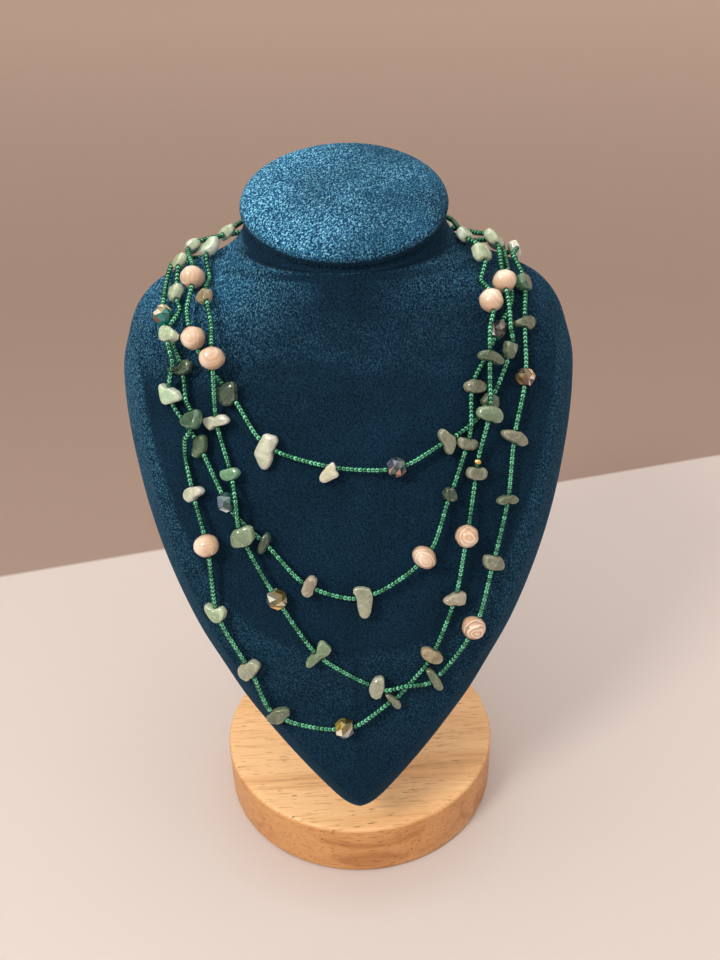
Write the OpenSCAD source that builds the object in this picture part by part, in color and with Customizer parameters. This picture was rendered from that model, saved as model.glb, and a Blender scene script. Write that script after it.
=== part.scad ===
// Long beaded necklace, wound four times round a velvet neck bust on a round wooden base.
// X runs to the wearer's left shoulder as seen from the front, -Y is the front, Z is up.
// The origin is the middle of the base's underside. All sizes are millimetres.

/* [Base] */
// Diameter of the round wooden base
base_d = 100; // [92:1:120]
// Thickness of the wooden base
base_h = 20; // [14:1:24]
// Rounding of the base's edges
base_edge = 1.5; // [0.5:0.5:3]
// Diameter of the post between base and bust
post_d = 12; // [8:1:16]
// Depth of the hole that holds the post
post_hole = 8; // [4:1:10]

/* [Bust] */
// Width of the chamfer along the bust's rim
rim_w = 6; // [3:0.5:9]
// Height of the chamfer along the bust's rim
rim_h = 5.5; // [3:0.5:7]
// Thickness of the pad on the neck
cap_h = 4.5; // [3:0.5:8]

/* [Beads] */
// Diameter of the seed beads
seed_d = 1.8; // [1.6:0.1:2.2]
// Diameter of the thread inside the larger beads
thread_d = 0.8; // [0.4:0.1:1]
// Clearance of the thread in a bead's hole
hole_gap = 0.15; // [0.1:0.05:0.3]
// Gap between a bead and the seed beads beside it
bead_gap = 0.15; // [0.1:0.05:0.3]

/* [Hidden] */
fit = 0.3;
post_y = 4;
curve_fn = 64;
hole_r = thread_d / 2 + hole_gap;

// Sections of the bust from its tip up to the neck, one row each, both halves alike.
// height, half width, rim y, depth in front of the rim, depth behind it,
// kind (0 chest, 1 shoulder ridge, 2 neck), forward tilt in degrees
bust_rows = [
    [ 36.0,  1.8, -53.0,  1.5,  1.5, 0.00,  0],
    [ 36.8,  3.6, -52.7,  3.0,  3.4, 0.00,  0],
    [ 39.5,  7.0, -52.0,  4.6,  5.4, 0.00,  0],
    [ 46.0, 13.6, -49.5,  5.8,  7.2, 0.00,  0],
    [ 54.5, 21.6, -46.0,  6.6,  9.0, 0.00,  0],
    [ 63.0, 29.0, -42.3,  7.2, 10.6, 0.00,  0],
    [ 71.0, 35.3, -39.0,  7.8, 12.0, 0.00,  0],
    [ 80.0, 41.4, -35.1,  9.6, 13.6, 0.00,  0],
    [ 90.0, 47.8, -30.9, 12.2, 15.2, 0.00,  0],
    [101.0, 53.4, -26.2, 14.4, 17.2, 0.00,  0],
    [113.0, 58.4, -21.1, 16.0, 19.6, 0.00,  0],
    [125.0, 62.3, -16.0, 17.0, 22.4, 0.00,  0],
    [137.0, 65.2, -10.9, 17.6, 25.6, 0.00,  0],
    [148.0, 67.2,  -6.3, 17.9, 28.8, 0.00,  0],
    [158.0, 68.3,  -2.0, 18.0, 32.0, 0.00,  0],
    [167.0, 68.3,   1.8, 18.0, 35.0, 0.10,  0],
    [174.5, 66.5,   5.2, 18.0, 37.0, 0.25,  0],
    [180.0, 64.8,   8.2, 18.4, 37.6, 0.45,  0],
    [184.5, 62.0,  11.2, 19.4, 36.4, 0.70,  0],
    [188.0, 58.2,  13.8, 20.6, 34.2, 0.90,  0],
    [190.8, 52.8,  15.8, 21.8, 31.6, 1.00,  1],
    [193.2, 47.0,  17.2, 22.8, 29.4, 1.15,  3],
    [195.2, 41.0,  18.2, 23.6, 27.8, 1.35,  6],
    [197.2, 36.0,  19.0, 24.4, 26.8, 1.65, 10],
    [199.6, 32.8,  19.6, 25.4, 26.4, 1.90, 15],
    [202.6, 31.0,  20.0, 26.8, 26.8, 2.00, 21],
    [207.6, 30.3,  20.3, 28.0, 28.0, 2.00, 28]
];

// Sections of the pad on the neck: share of its thickness, size beside the neck's end
cap_rows = [
    [0.00, 0.960],
    [0.12, 1.015],
    [0.36, 1.035],
    [0.62, 1.015],
    [0.80, 0.950],
    [0.92, 0.800],
    [1.00, 0.480]
];

// What a place on the string holds
BEND = 0;
CHIP = 1;
PEARL = 2;
CRYSTAL = 3;
CRIMP = 4;

// Colours of the stones
tints = [
    [0.20, 0.38, 0.32],
    [0.36, 0.62, 0.48],
    [0.66, 0.82, 0.70],
    [0.90, 0.91, 0.86],
    [0.86, 0.80, 0.62],
    [0.72, 0.66, 0.62],
    [0.48, 0.56, 0.38]
];

// The four windings, each from the left shoulder over the chest to the right shoulder and
// round the back of the neck. Where the place is x, y, z, then what it holds, its size
// across and along the string and its thickness, how far it hangs outwards, its slant, its tint.
winding_a = [
    [-46.5,  18.0, 197.5, CHIP,    5.2, 4.6, 4.2,  0.3,  0.0, 2],
    [-45.0,   4.0, 191.0, PEARL,   7.4, 6.4, 0,    0,    0,   0],
    [-46.2,  -4.0, 183.6, BEND,    0,   0,   0,    0,    0,   0],
    [-44.0, -10.5, 177.0, PEARL,   7.2, 7.0, 0,    0,    0,   0],
    [-40.5, -12.5, 169.5, BEND,    0,   0,   0,    0,    0,   0],
    [-34.0, -18.5, 163.0, CHIP,    7.4, 5.8, 4.4,  0.2,  0.4, 0],
    [-23.5, -25.0, 149.5, CHIP,   10.8, 5.0, 4.6,  1.7,  0.6, 3],
    [ -5.5, -29.0, 144.0, CHIP,    6.4, 3.2, 4.4,  1.2,  0.8, 4],
    [ 13.0, -29.5, 143.5, CRYSTAL, 5.8, 4.9, 0,    0,    0,   0],
    [ 28.0, -25.0, 149.5, CHIP,    8.2, 4.2, 4.4,  0.2,  0.0, 5],
    [ 35.0, -21.0, 152.5, BEND,    0,   0,   0,    0,    0,   0],
    [ 40.5, -18.5, 158.5, CHIP,    5.8, 4.8, 3.6,  0.2,  0.3, 5],
    [ 46.5, -13.0, 171.5, CHIP,    5.0, 5.0, 4.4, -0.3,  0.5, 0],
    [ 46.5, -11.5, 178.0, BEND,    0,   0,   0,    0,    0,   0],
    [ 46.5,  -6.0, 184.0, BEND,    0,   0,   0,    0,    0,   0],
    [ 46.0,   0.0, 188.5, PEARL,   7.1, 6.4, 0,    0,    0,   0],
    [ 45.2,  15.0, 197.5, CHIP,    7.6, 5.6, 4.2, -0.4,  0.4, 2],
    [ 41.5,  23.5, 198.0, BEND,    0,   0,   0,    0,    0,   0],
    [ 32.5,  32.5, 198.5, CHIP,    5.2, 4.6, 5.0,  0.0,  0.3, 2],
    [ 21.5,  42.0, 199.0, CHIP,    5.0, 4.2, 5.2,  0.0,  0.2, 5],
    [  7.5,  48.0, 198.5, CHIP,    5.2, 5.0, 4.8,  0.0,  0.4, 1],
    [ -6.0,  48.5, 197.5, CRYSTAL, 5.4, 4.8, 0,    0,    0,   0],
    [-20.0,  43.5, 196.0, CHIP,    5.0, 4.6, 5.0,  0.0,  0.3, 3],
    [-32.0,  35.5, 195.0, CHIP,    5.2, 4.4, 5.0,  0.0,  0.2, 0],
    [-44.5,  23.0, 193.0, BEND,    0,   0,   0,    0,    0,   0],
    [-49.0,  17.0, 194.0, BEND,    0,   0,   0,    0,    0,   0]
];
winding_b = [
    [-50.0,  12.5, 194.0, CHIP,    6.2, 4.6, 4.2,  0.0,  0.2, 2],
    [-50.0,   3.0, 187.0, CHIP,    5.4, 5.4, 4.2,  0.3,  0.3, 1],
    [-48.5,  -2.5, 183.0, BEND,    0,   0,   0,    0,    0,   0],
    [-51.0,  -9.5, 178.0, CHIP,    6.6, 4.8, 4.2,  0.0,  0.2, 2],
    [-50.0, -14.0, 171.0, BEND,    0,   0,   0,    0,    0,   0],
    [-51.5, -15.0, 161.5, CHIP,    7.6, 4.8, 4.2,  0.0,  0.8, 2],
    [-48.0, -17.5, 154.0, BEND,    0,   0,   0,    0,    0,   0],
    [-43.5, -22.5, 148.5, CHIP,    6.6, 4.8, 4.0,  0.0,  0.4, 1],
    [-36.0, -30.0, 134.0, CRYSTAL, 5.8, 5.2, 0,    0,    0,   0],
    [-32.5, -31.0, 128.5, BEND,    0,   0,   0,    0,    0,   0],
    [-25.5, -35.0, 123.0, CHIP,    6.8, 3.0, 4.2,  0.1,  0.4, 0],
    [-13.0, -40.5, 111.5, CHIP,    6.8, 3.8, 4.4,  0.0,  0.3, 5],
    [  3.0, -41.5, 108.0, CHIP,   10.0, 5.0, 4.4,  1.8,  0.5, 3],
    [ 20.5, -38.5, 119.0, PEARL,   7.8, 6.2, 0,    0,    0,   0],
    [ 28.5, -30.5, 135.0, CHIP,    4.6, 4.2, 4.0,  0.0,  0.3, 0],
    [ 33.5, -25.0, 148.0, CHIP,    6.6, 3.6, 4.2,  0.1,  0.3, 2],
    [ 34.5, -24.5, 153.5, BEND,    0,   0,   0,    0,    0,   0],
    [ 35.5, -18.0, 163.0, CHIP,    7.0, 4.2, 4.2,  0.8,  0.3, 5],
    [ 39.5, -12.5, 169.5, BEND,    0,   0,   0,    0,    0,   0],
    [ 43.5,  -9.0, 176.5, CRYSTAL, 5.0, 5.0, 0,    0,    0,   0],
    [ 48.5,  -0.5, 183.0, BEND,    0,   0,   0,    0,    0,   0],
    [ 48.5,   9.5, 190.5, BEND,    0,   0,   0,    0,    0,   0],
    [ 48.4,  16.5, 193.8, BEND,    0,   0,   0,    0,    0,   0],
    [ 46.5,  23.0, 195.5, CHIP,    5.6, 5.0, 4.2,  0.2,  0.3, 2],
    [ 35.5,  34.0, 194.0, CHIP,    5.0, 4.4, 5.0,  0.0,  0.3, 3],
    [ 25.0,  41.0, 194.5, CHIP,    5.0, 4.6, 5.0,  0.0,  0.3, 1],
    [ 15.5,  49.0, 196.0, BEND,    0,   0,   0,    0,    0,   0],
    [  1.0,  54.0, 199.5, CHIP,    5.2, 4.6, 5.0,  0.0,  0.2, 4],
    [-13.5,  50.0, 203.0, CHIP,    5.0, 5.0, 5.0,  0.0,  0.4, 0],
    [-27.0,  38.5, 204.0, CHIP,    5.2, 4.6, 5.0,  0.0,  0.3, 2]
];
winding_c = [
    [-36.5,  22.0, 200.5, CHIP,    6.8, 3.6, 4.2,  0.0,  0.4, 6],
    [-41.0,  14.5, 197.5, CHIP,    6.6, 6.0, 4.4,  0.0,  0.4, 3],
    [-40.4,   6.0, 190.2, BEND,    0,   0,   0,    0,    0,   0],
    [-40.2,  -2.6, 187.4, CHIP,    5.4, 4.8, 4.0,  1.0,  0.2, 4],
    [-38.6,  -9.5, 180.0, BEND,    0,   0,   0,    0,    0,   0],
    [-38.0, -17.0, 173.0, PEARL,   7.5, 6.7, 0,    0,    0,   0],
    [-38.0, -21.0, 155.5, CHIP,    9.0, 3.0, 4.2,  0.0,  0.5, 4],
    [-34.5, -27.0, 141.5, CHIP,    6.4, 3.6, 4.2,  0.1,  0.3, 1],
    [-33.0, -32.5, 135.5, BEND,    0,   0,   0,    0,    0,   0],
    [-31.5, -35.5, 125.5, CHIP,    8.0, 5.8, 4.6,  0.1,  0.6, 1],
    [-22.5, -41.0, 107.5, CRYSTAL, 6.0, 5.4, 0,    0,    0,   0],
    [-11.0, -45.5,  90.0, CHIP,    9.8, 2.8, 4.4,  0.3,  0.5, 2],
    [  6.0, -48.0,  79.5, CHIP,    7.4, 4.6, 4.4, -0.2,  0.4, 4],
    [ 14.5, -49.0,  80.5, BEND,    0,   0,   0,    0,    0,   0],
    [ 23.5, -46.5,  81.0, CHIP,    8.6, 3.0, 4.0,  0.0,  0.3, 6],
    [ 35.0, -42.5,  96.5, PEARL,   7.3, 7.0, 0,    0,    0,   0],
    [ 41.0, -35.5, 114.5, CHIP,    7.6, 4.4, 4.2,  0.1,  0.3, 4],
    [ 45.5, -28.5, 132.0, CHIP,    7.6, 2.8, 3.8, -0.1,  0.2, 6],
    [ 47.5, -22.0, 148.5, CHIP,    9.8, 3.8, 4.2,  0.0,  1.0, 5],
    [ 51.0, -14.5, 164.0, CRYSTAL, 5.8, 4.6, 0,    0,    0,   0],
    [ 51.5,  -6.0, 178.0, CHIP,    8.8, 3.6, 4.2, -0.3,  0.3, 6],
    [ 52.5,   4.0, 187.0, CHIP,    5.6, 5.8, 4.4,  0.2,  0.3, 0],
    [ 50.5,  12.5, 193.5, BEND,    0,   0,   0,    0,    0,   0],
    [ 52.0,  18.0, 194.0, CHIP,    6.4, 3.4, 4.0,  0.4,  0.3, 3],
    [ 48.5,  25.0, 190.0, BEND,    0,   0,   0,    0,    0,   0],
    [ 39.0,  33.0, 191.0, CHIP,    5.0, 4.4, 4.8,  0.0,  0.3, 1],
    [ 30.0,  42.0, 190.0, CHIP,    5.0, 4.6, 5.0,  0.0,  0.3, 5],
    [ 16.0,  48.5, 190.0, CHIP,    5.0, 4.2, 5.0,  0.0,  0.2, 2],
    [  1.0,  50.5, 190.0, CHIP,    5.0, 5.0, 5.0,  0.0,  0.4, 6],
    [-15.0,  48.5, 190.0, CRYSTAL, 5.4, 4.8, 0,    0,    0,   0],
    [-30.0,  41.5, 190.0, CHIP,    5.0, 4.6, 5.0,  0.0,  0.3, 0],
    [-40.5,  32.0, 191.0, CHIP,    5.0, 4.4, 4.8,  0.0,  0.2, 2]
];
winding_d = [
    [-51.5,  18.5, 192.0, BEND,    0,   0,   0,    0,    0,   0],
    [-53.0,  14.5, 192.5, BEND,    0,   0,   0,    0,    0,   0],
    [-54.0,   8.5, 188.5, BEND,    0,   0,   0,    0,    0,   0],
    [-53.5,  -2.5, 181.5, CRYSTAL, 6.0, 5.6, 0,    0,    0,   0],
    [-51.5,  -5.5, 176.0, BEND,    0,   0,   0,    0,    0,   0],
    [-48.0, -12.5, 168.5, CHIP,    9.0, 3.6, 3.6,  0.4,  0.5, 0],
    [-47.0, -16.5, 160.5, BEND,    0,   0,   0,    0,    0,   0],
    [-45.0, -22.5, 156.5, CHIP,    7.0, 5.0, 4.2, -0.1,  0.4, 1],
    [-47.0, -24.0, 151.5, BEND,    0,   0,   0,    0,    0,   0],
    [-48.0, -22.0, 144.5, BEND,    0,   0,   0,    0,    0,   0],
    [-46.0, -27.0, 135.5, CHIP,    7.4, 4.2, 4.4, -0.4,  0.3, 3],
    [-42.5, -34.0, 122.0, PEARL,   7.6, 6.9, 0,    0,    0,   0],
    [-40.5, -39.0, 101.0, CHIP,    6.6, 4.6, 4.4,  0.8,  0.5, 2],
    [-32.0, -44.5,  84.5, CHIP,    8.0, 5.0, 4.6, -0.1,  0.4, 3],
    [-24.0, -49.0,  70.5, CHIP,    7.2, 5.0, 4.2, -0.2,  0.4, 6],
    [ -4.0, -51.5,  67.0, CRYSTAL, 6.0, 5.2, 0,    0,    0,   0],
    [ 11.0, -48.5,  75.0, CHIP,    6.8, 2.4, 3.8,  0.1,  0.3, 6],
    [ 15.0, -46.5,  78.0, BEND,    0,   0,   0,    0,    0,   0],
    [ 22.5, -45.0,  88.5, CHIP,    7.6, 4.2, 4.4,  0.0,  0.4, 4],
    [ 29.5, -40.0, 105.5, CHIP,    7.2, 4.0, 4.2,  0.0,  0.3, 4],
    [ 33.0, -35.0, 123.5, PEARL,   7.0, 7.0, 0,    0,    0,   0],
    [ 36.0, -27.5, 139.5, CHIP,    6.6, 4.0, 4.2,  0.1,  0.3, 5],
    [ 36.5, -26.0, 143.0, CRIMP,   2.4, 2.0, 0,    0,    0,   0],
    [ 39.5, -24.0, 157.0, CHIP,    8.8, 4.4, 4.2,  0.2,  0.4, 2],
    [ 40.0, -20.0, 164.0, BEND,    0,   0,   0,    0,    0,   0],
    [ 40.0, -17.0, 171.5, CHIP,    8.6, 3.2, 4.0,  0.3,  1.0, 2],
    [ 40.5, -12.0, 178.5, BEND,    0,   0,   0,    0,    0,   0],
    [ 41.5,  -6.0, 184.5, PEARL,   7.0, 7.2, 0,    0,    0,   0],
    [ 39.5,   2.0, 188.5, BEND,    0,   0,   0,    0,    0,   0],
    [ 40.5,   8.0, 195.0, CHIP,    7.4, 5.8, 4.4, -0.2,  0.3, 2],
    [ 36.0,  16.0, 199.0, CHIP,    5.6, 5.0, 4.2,  0.0,  0.3, 2],
    [ 33.6,  27.0, 201.5, BEND,    0,   0,   0,    0,    0,   0],
    [ 27.0,  37.5, 203.5, CHIP,    5.2, 4.6, 5.0,  0.0,  0.3, 2],
    [ 14.0,  45.5, 203.5, CHIP,    5.0, 4.6, 5.0,  0.0,  0.3, 3],
    [  0.0,  48.5, 203.0, BEND,    0,   0,   0,    0,    0,   0],
    [-15.0,  45.0, 201.0, BEND,    0,   0,   0,    0,    0,   0],
    [-28.0,  37.0, 199.0, CHIP,    5.0, 4.4, 5.0,  0.0,  0.3, 1]
];
windings = [winding_a, winding_b, winding_c, winding_d];

// Small vector helpers
function unit(v) = v / norm(v);
function place(row) = [row[0], row[1], row[2]];

// Faces of a stack of rings with m points each: the skin, and flat ends or a closed ring
function skin_faces(rings, m, first = 0) = [
    for (i = [0 : rings - 2], j = [0 : m - 1], half = [0, 1])
        let (
            a = first + i * m + j,
            b = first + i * m + (j + 1) % m,
            c = b + m,
            d = a + m
        )
        half == 0 ? [a, b, c] : [a, c, d]
];
function end_faces(rings, m) = [
    [for (j = [m - 1 : -1 : 0]) j],
    [for (j = [0 : m - 1]) (rings - 1) * m + j]
];
function ring_faces(rings, m, first) = [
    for (i = [0 : rings - 1], j = [0 : m - 1], half = [0, 1])
        let (
            a = first + i * m + j,
            b = first + i * m + (j + 1) % m,
            c = first + ((i + 1) % rings) * m + (j + 1) % m,
            d = first + ((i + 1) % rings) * m + j
        )
        half == 0 ? [a, b, c] : [a, c, d]
];

// The bust's section: how far it stands before and behind the rim at a share u of its half width
quarter = 10;
sides = 4 * quarter;
function front_share(u, kind) =
    pow(1 - pow(u, lookup(kind, [[0, 2.2], [1, 1.7], [2, 2]])),
        lookup(kind, [[0, 0.9], [1, 1.2], [2, 0.5]]));
function back_share(u, kind) =
    pow(1 - pow(u, lookup(kind, [[0, 6], [1, 1.8], [2, 2]])),
        lookup(kind, [[0, 0.5], [1, 1.1], [2, 0.5]]));
function rim_slope(i) =
    let (
        lo = bust_rows[max(i - 1, 0)],
        hi = bust_rows[min(i + 1, len(bust_rows) - 1)],
        rise = (hi[0] - lo[0]) / cos(23)
    )
    min(3, norm([1, (hi[1] - lo[1]) / rise]));
function front_depth(i, u) =
    let (
        row = bust_rows[i],
        rim = min(rim_h, 0.75 * row[3]) * max(0, 1 - row[5]),
        share = min(1, (1 - u) * row[1] / (rim_w * rim_slope(i)))
    )
    rim * pow(share, 0.8) + (row[3] - rim) * front_share(u, row[5]);
function bust_point(i, k) =
    let (
        row = bust_rows[i],
        angle = 360 * k / sides,
        u = min(1, abs(cos(angle))),
        depth = sin(angle) > 0 ? -front_depth(i, u) : row[4] * back_share(u, row[5])
    )
    [
        row[1] * cos(angle),
        row[2] + depth * cos(row[6]),
        row[0] + depth * sin(row[6])
    ];

// The string's direction, its outward side and the sideways direction at a place
function core(p) = [0.45 * p[0], 20 - 0.35 * (150 - min(p[2], 190)), p[2] - 14];
function along(before, after) = unit(place(after) - place(before));
function outward(p, t) =
    let (n = unit(p - core(p)))
    unit(n - (n * t) * t);
function next_row(w, i) =
    i < len(windings[w]) - 1 ? windings[w][i + 1] : windings[(w + 1) % 4][0];
function last_row(w, i) =
    i > 0 ? windings[w][i - 1] : windings[(w + 3) % 4][len(windings[(w + 3) % 4]) - 1];
function frame_at(w, i) =
    let (
        p = place(windings[w][i]),
        t = along(last_row(w, i), next_row(w, i)),
        n = outward(p, t)
    )
    [p, cross(t, n), n, t];

// The seed-bead string: full width between the larger beads, thread width inside them
string_sides = 8;
function string_ring(frame, shift, r) = [
    for (k = [0 : string_sides - 1])
        let (angle = 360 * (k + 0.5) / string_sides)
        frame[0] + shift * frame[3] + r * cos(angle) * frame[1] + r * sin(angle) * frame[2]
];
function string_stop(w, i) =
    let (
        row = windings[w][i],
        frame = frame_at(w, i),
        reach = row[5] / 2 + bead_gap
    )
    row[3] == BEND ? [string_ring(frame, 0, seed_d / 2)] : [
        string_ring(frame, -reach, seed_d / 2),
        string_ring(frame, -reach, thread_d / 2),
        string_ring(frame, reach, thread_d / 2),
        string_ring(frame, reach, seed_d / 2)
    ];

// A winding starts and ends in the middle of a bead, or at a bend, with a hair's gap
half_gap = 0.05;
function string_start(w) =
    let (row = windings[w][0], frame = frame_at(w, 0))
    row[3] == BEND ? [string_ring(frame, half_gap, seed_d / 2)] : [
        string_ring(frame, half_gap, thread_d / 2),
        string_ring(frame, row[5] / 2 + bead_gap, thread_d / 2),
        string_ring(frame, row[5] / 2 + bead_gap, seed_d / 2)
    ];
function string_end(w) =
    let (
        v = (w + 1) % 4,
        row = windings[v][0],
        frame = frame_at(v, 0)
    )
    row[3] == BEND ? [string_ring(frame, -half_gap, seed_d / 2)] : [
        string_ring(frame, -row[5] / 2 - bead_gap, seed_d / 2),
        string_ring(frame, -row[5] / 2 - bead_gap, thread_d / 2),
        string_ring(frame, -half_gap, thread_d / 2)
    ];
function string_rings(w) = [
    each string_start(w),
    for (i = [1 : len(windings[w]) - 1]) each string_stop(w, i),
    each string_end(w)
];

// A drilled chip: three uneven rings round the hole, closed onto the hole's two ends.
// A ring has its place along the hole and its share of the chip's full size, 0 at the hole.
chip_sides = 8;
chip_rings = [[-0.5, 0], [-0.32, 0.84], [0.04, 1], [0.34, 0.8], [0.5, 0]];
function lump(seed, angle) =
    1 + 0.09 * sin(2 * angle + 47 * seed) + 0.07 * sin(3 * angle + 91 * seed);
function chip_points(w, i) =
    let (
        row = windings[w][i],
        frame = frame_at(w, i),
        seed = 7 * w + i
    )
    [
        for (ring = chip_rings, k = [0 : chip_sides - 1])
            let (
                angle = 360 * k / chip_sides,
                wide = ring[1] == 0 ? hole_r : ring[1] * row[4] / 2 * lump(seed, angle),
                deep = ring[1] == 0 ? hole_r : ring[1] * row[6] / 2 * lump(seed + 3, angle),
                mid = ring[1] == 0 ? 0 : row[7] + row[8] * ring[0]
            )
            frame[0]
                + (mid + wide * cos(angle)) * frame[1]
                + deep * sin(angle) * frame[2]
                + row[5] * ring[0] * frame[3]
    ];

// A drilled cut crystal: flat ends with rows of facets between them.
// A ring has its place along the hole, its share of the full size and its turn in sides.
crystal_sides = 8;
crystal_rings = [
    [-0.50, 0.0, 0.0],
    [-0.50, 0.6, 0.0],
    [-0.14, 1.0, 0.5],
    [ 0.14, 1.0, 0.0],
    [ 0.50, 0.6, 0.5],
    [ 0.50, 0.0, 0.5]
];
function crystal_points(w, i) =
    let (row = windings[w][i], frame = frame_at(w, i))
    [
        for (ring = crystal_rings, k = [0 : crystal_sides - 1])
            let (
                angle = 360 * (k + ring[2]) / crystal_sides,
                r = ring[1] == 0 ? hole_r : ring[1] * row[4] / 2
            )
            frame[0] + r * cos(angle) * frame[1] + r * sin(angle) * frame[2] + row[5] * ring[0] * frame[3]
    ];

// Places of each kind of bead, as pairs of winding and row
function places_of(kind) = [
    for (w = [0 : 3], i = [0 : len(windings[w]) - 1])
        if (windings[w][i][3] == kind) [w, i]
];
pearls = places_of(PEARL);
crystals = places_of(CRYSTAL);

// Round wooden base with eased edges, drilled for the post
module base_disc() {
    color([0.86, 0.68, 0.46])
    difference() {
        rotate_extrude($fn = curve_fn)
        union() {
            square([base_d / 2 - base_edge, base_h]);
            translate([0, base_edge])
            square([base_d / 2, base_h - 2 * base_edge]);
            for (z = [base_edge, base_h - base_edge])
                translate([base_d / 2 - base_edge, z])
                circle(r = base_edge, $fn = 32);
        }
        translate([0, post_y, base_h - post_hole])
        cylinder(d = post_d + 2 * fit, h = post_hole + 1, $fn = curve_fn);
    }
}

// Plain post, cut at a slant where it meets the back of the bust: the back's slope there,
// and its height above the middle of the post
back_slope = 56;
back_z = 120.7;
module post() {
    color([0.80, 0.62, 0.42])
    difference() {
        translate([0, post_y, base_h - post_hole + fit])
        cylinder(d = post_d, h = back_z, $fn = curve_fn);
        translate([0, post_y, back_z])
        rotate([back_slope, 0, 0])
        translate([-base_d / 2, -base_d, 0])
        cube([base_d, 2 * base_d, base_d]);
    }
}

// Padded bust: chest with a chamfered rim, shoulders and the start of the neck
module neck_bust() {
    color([0.07, 0.30, 0.44])
    polyhedron(
        points = [for (i = [0 : len(bust_rows) - 1], k = [0 : sides - 1]) bust_point(i, k)],
        faces = concat(skin_faces(len(bust_rows), sides), end_faces(len(bust_rows), sides)),
        convexity = 6
    );
}

// Oval pad with a rolled edge on the neck's slanted end
module neck_cap() {
    neck = bust_rows[len(bust_rows) - 1];
    color([0.10, 0.36, 0.52])
    translate([0, neck[2], neck[0]])
    rotate([neck[6], 0, 0])
    translate([0, 0, fit])
    polyhedron(
        points = [
            for (row = cap_rows, k = [0 : sides - 1])
                [
                    neck[1] * row[1] * cos(360 * k / sides),
                    neck[3] * row[1] * -sin(360 * k / sides),
                    cap_h * row[0]
                ]
        ],
        faces = concat(skin_faces(len(cap_rows), sides), end_faces(len(cap_rows), sides)),
        convexity = 2
    );
}

// One winding of the seed-bead string
module seed_string(w) {
    rings = string_rings(w);
    color([0.10, 0.62, 0.36])
    polyhedron(
        points = [for (ring = rings) each ring],
        faces = concat(skin_faces(len(rings), string_sides), end_faces(len(rings), string_sides)),
        convexity = 10
    );
}

// The chips of one winding, tint by tint
module chips(w) {
    for (tint = [0 : len(tints) - 1]) {
        alike = [
            for (i = [0 : len(windings[w]) - 1])
                if (windings[w][i][3] == CHIP && windings[w][i][9] == tint) i
        ];
        if (len(alike) > 0)
            color(tints[tint])
            polyhedron(
                points = [for (i = alike) each chip_points(w, i)],
                faces = [
                    for (n = [0 : len(alike) - 1])
                        each ring_faces(len(chip_rings), chip_sides, n * len(chip_rings) * chip_sides)
                ],
                convexity = 10
            );
    }
}

// Puts a bead that was modelled along Z onto the string
module on_string(spot) {
    frame = frame_at(spot[0], spot[1]);
    multmatrix([
        [frame[1][0], frame[2][0], frame[3][0], frame[0][0]],
        [frame[1][1], frame[2][1], frame[3][1], frame[0][1]],
        [frame[1][2], frame[2][2], frame[3][2], frame[0][2]],
        [0, 0, 0, 1]
    ])
    children();
}

// Round drilled bead turned from an oval profile
module turned_bead(across, length) {
    reach = acos(hole_r / (across / 2));
    steps = 12;
    rotate_extrude($fn = 32)
    polygon([
        for (k = [0 : steps])
            let (angle = -reach + 2 * reach * k / steps)
            [across / 2 * cos(angle), length / 2 * sin(angle)]
    ]);
}

// A drilled pearl
module pearl(n) {
    row = windings[pearls[n][0]][pearls[n][1]];
    color([0.93, 0.86, 0.78])
    on_string(pearls[n])
    turned_bead(row[4], row[5]);
}

// A drilled cut crystal
module crystal(n) {
    color([0.50, 0.58, 0.60])
    polyhedron(
        points = crystal_points(crystals[n][0], crystals[n][1]),
        faces = ring_faces(len(crystal_rings), crystal_sides, 0),
        convexity = 4
    );
}

// The small gold bead
module crimp_bead() {
    spot = places_of(CRIMP)[0];
    row = windings[spot[0]][spot[1]];
    color([0.85, 0.68, 0.36])
    on_string(spot)
    turned_bead(row[4], row[5]);
}

base_disc();
post();
neck_bust();
neck_cap();
for (w = [0 : 3]) {
    letter = ["a", "b", "c", "d"][w];
    seed_string(w);
    chips(w);
}
for (n = [0 : len(pearls) - 1])
    pearl(n);
for (n = [0 : len(crystals) - 1])
    crystal(n);
crimp_bead();
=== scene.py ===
# Long beaded necklace, wound four times round a velvet neck bust on a round wooden base.
# Everything is set out in millimetres in the same frame as the CAD, and becomes metres in the meshes.
import math
import random
import bmesh
import bpy
from mathutils import Matrix, Vector, noise


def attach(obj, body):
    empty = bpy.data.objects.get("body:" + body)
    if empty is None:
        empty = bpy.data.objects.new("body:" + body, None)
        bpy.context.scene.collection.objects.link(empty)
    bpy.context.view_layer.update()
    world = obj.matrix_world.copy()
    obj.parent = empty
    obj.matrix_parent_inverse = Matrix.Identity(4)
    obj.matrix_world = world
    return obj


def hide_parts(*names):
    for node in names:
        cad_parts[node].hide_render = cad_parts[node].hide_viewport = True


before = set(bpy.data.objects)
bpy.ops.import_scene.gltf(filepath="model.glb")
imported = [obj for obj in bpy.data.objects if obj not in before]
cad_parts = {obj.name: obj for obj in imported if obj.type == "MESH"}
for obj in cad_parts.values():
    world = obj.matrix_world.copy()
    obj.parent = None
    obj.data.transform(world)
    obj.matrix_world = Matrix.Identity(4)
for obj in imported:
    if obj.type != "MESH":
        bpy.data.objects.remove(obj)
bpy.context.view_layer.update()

mm = 0.001
print("frame loaded, nodes:", len(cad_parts))


def addObject(name, data):
    item = bpy.data.objects.new(name, data)
    bpy.context.scene.collection.objects.link(item)
    return item


# Camera of the photograph: millimetres, degrees, lens for a 36 mm sensor along the long side
cameraSettings = {
    "place": (2.6, -233.0, 243.5),
    "down": 27.0,
    "roll": -1.5,
    "lens": 30.0,
}


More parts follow.
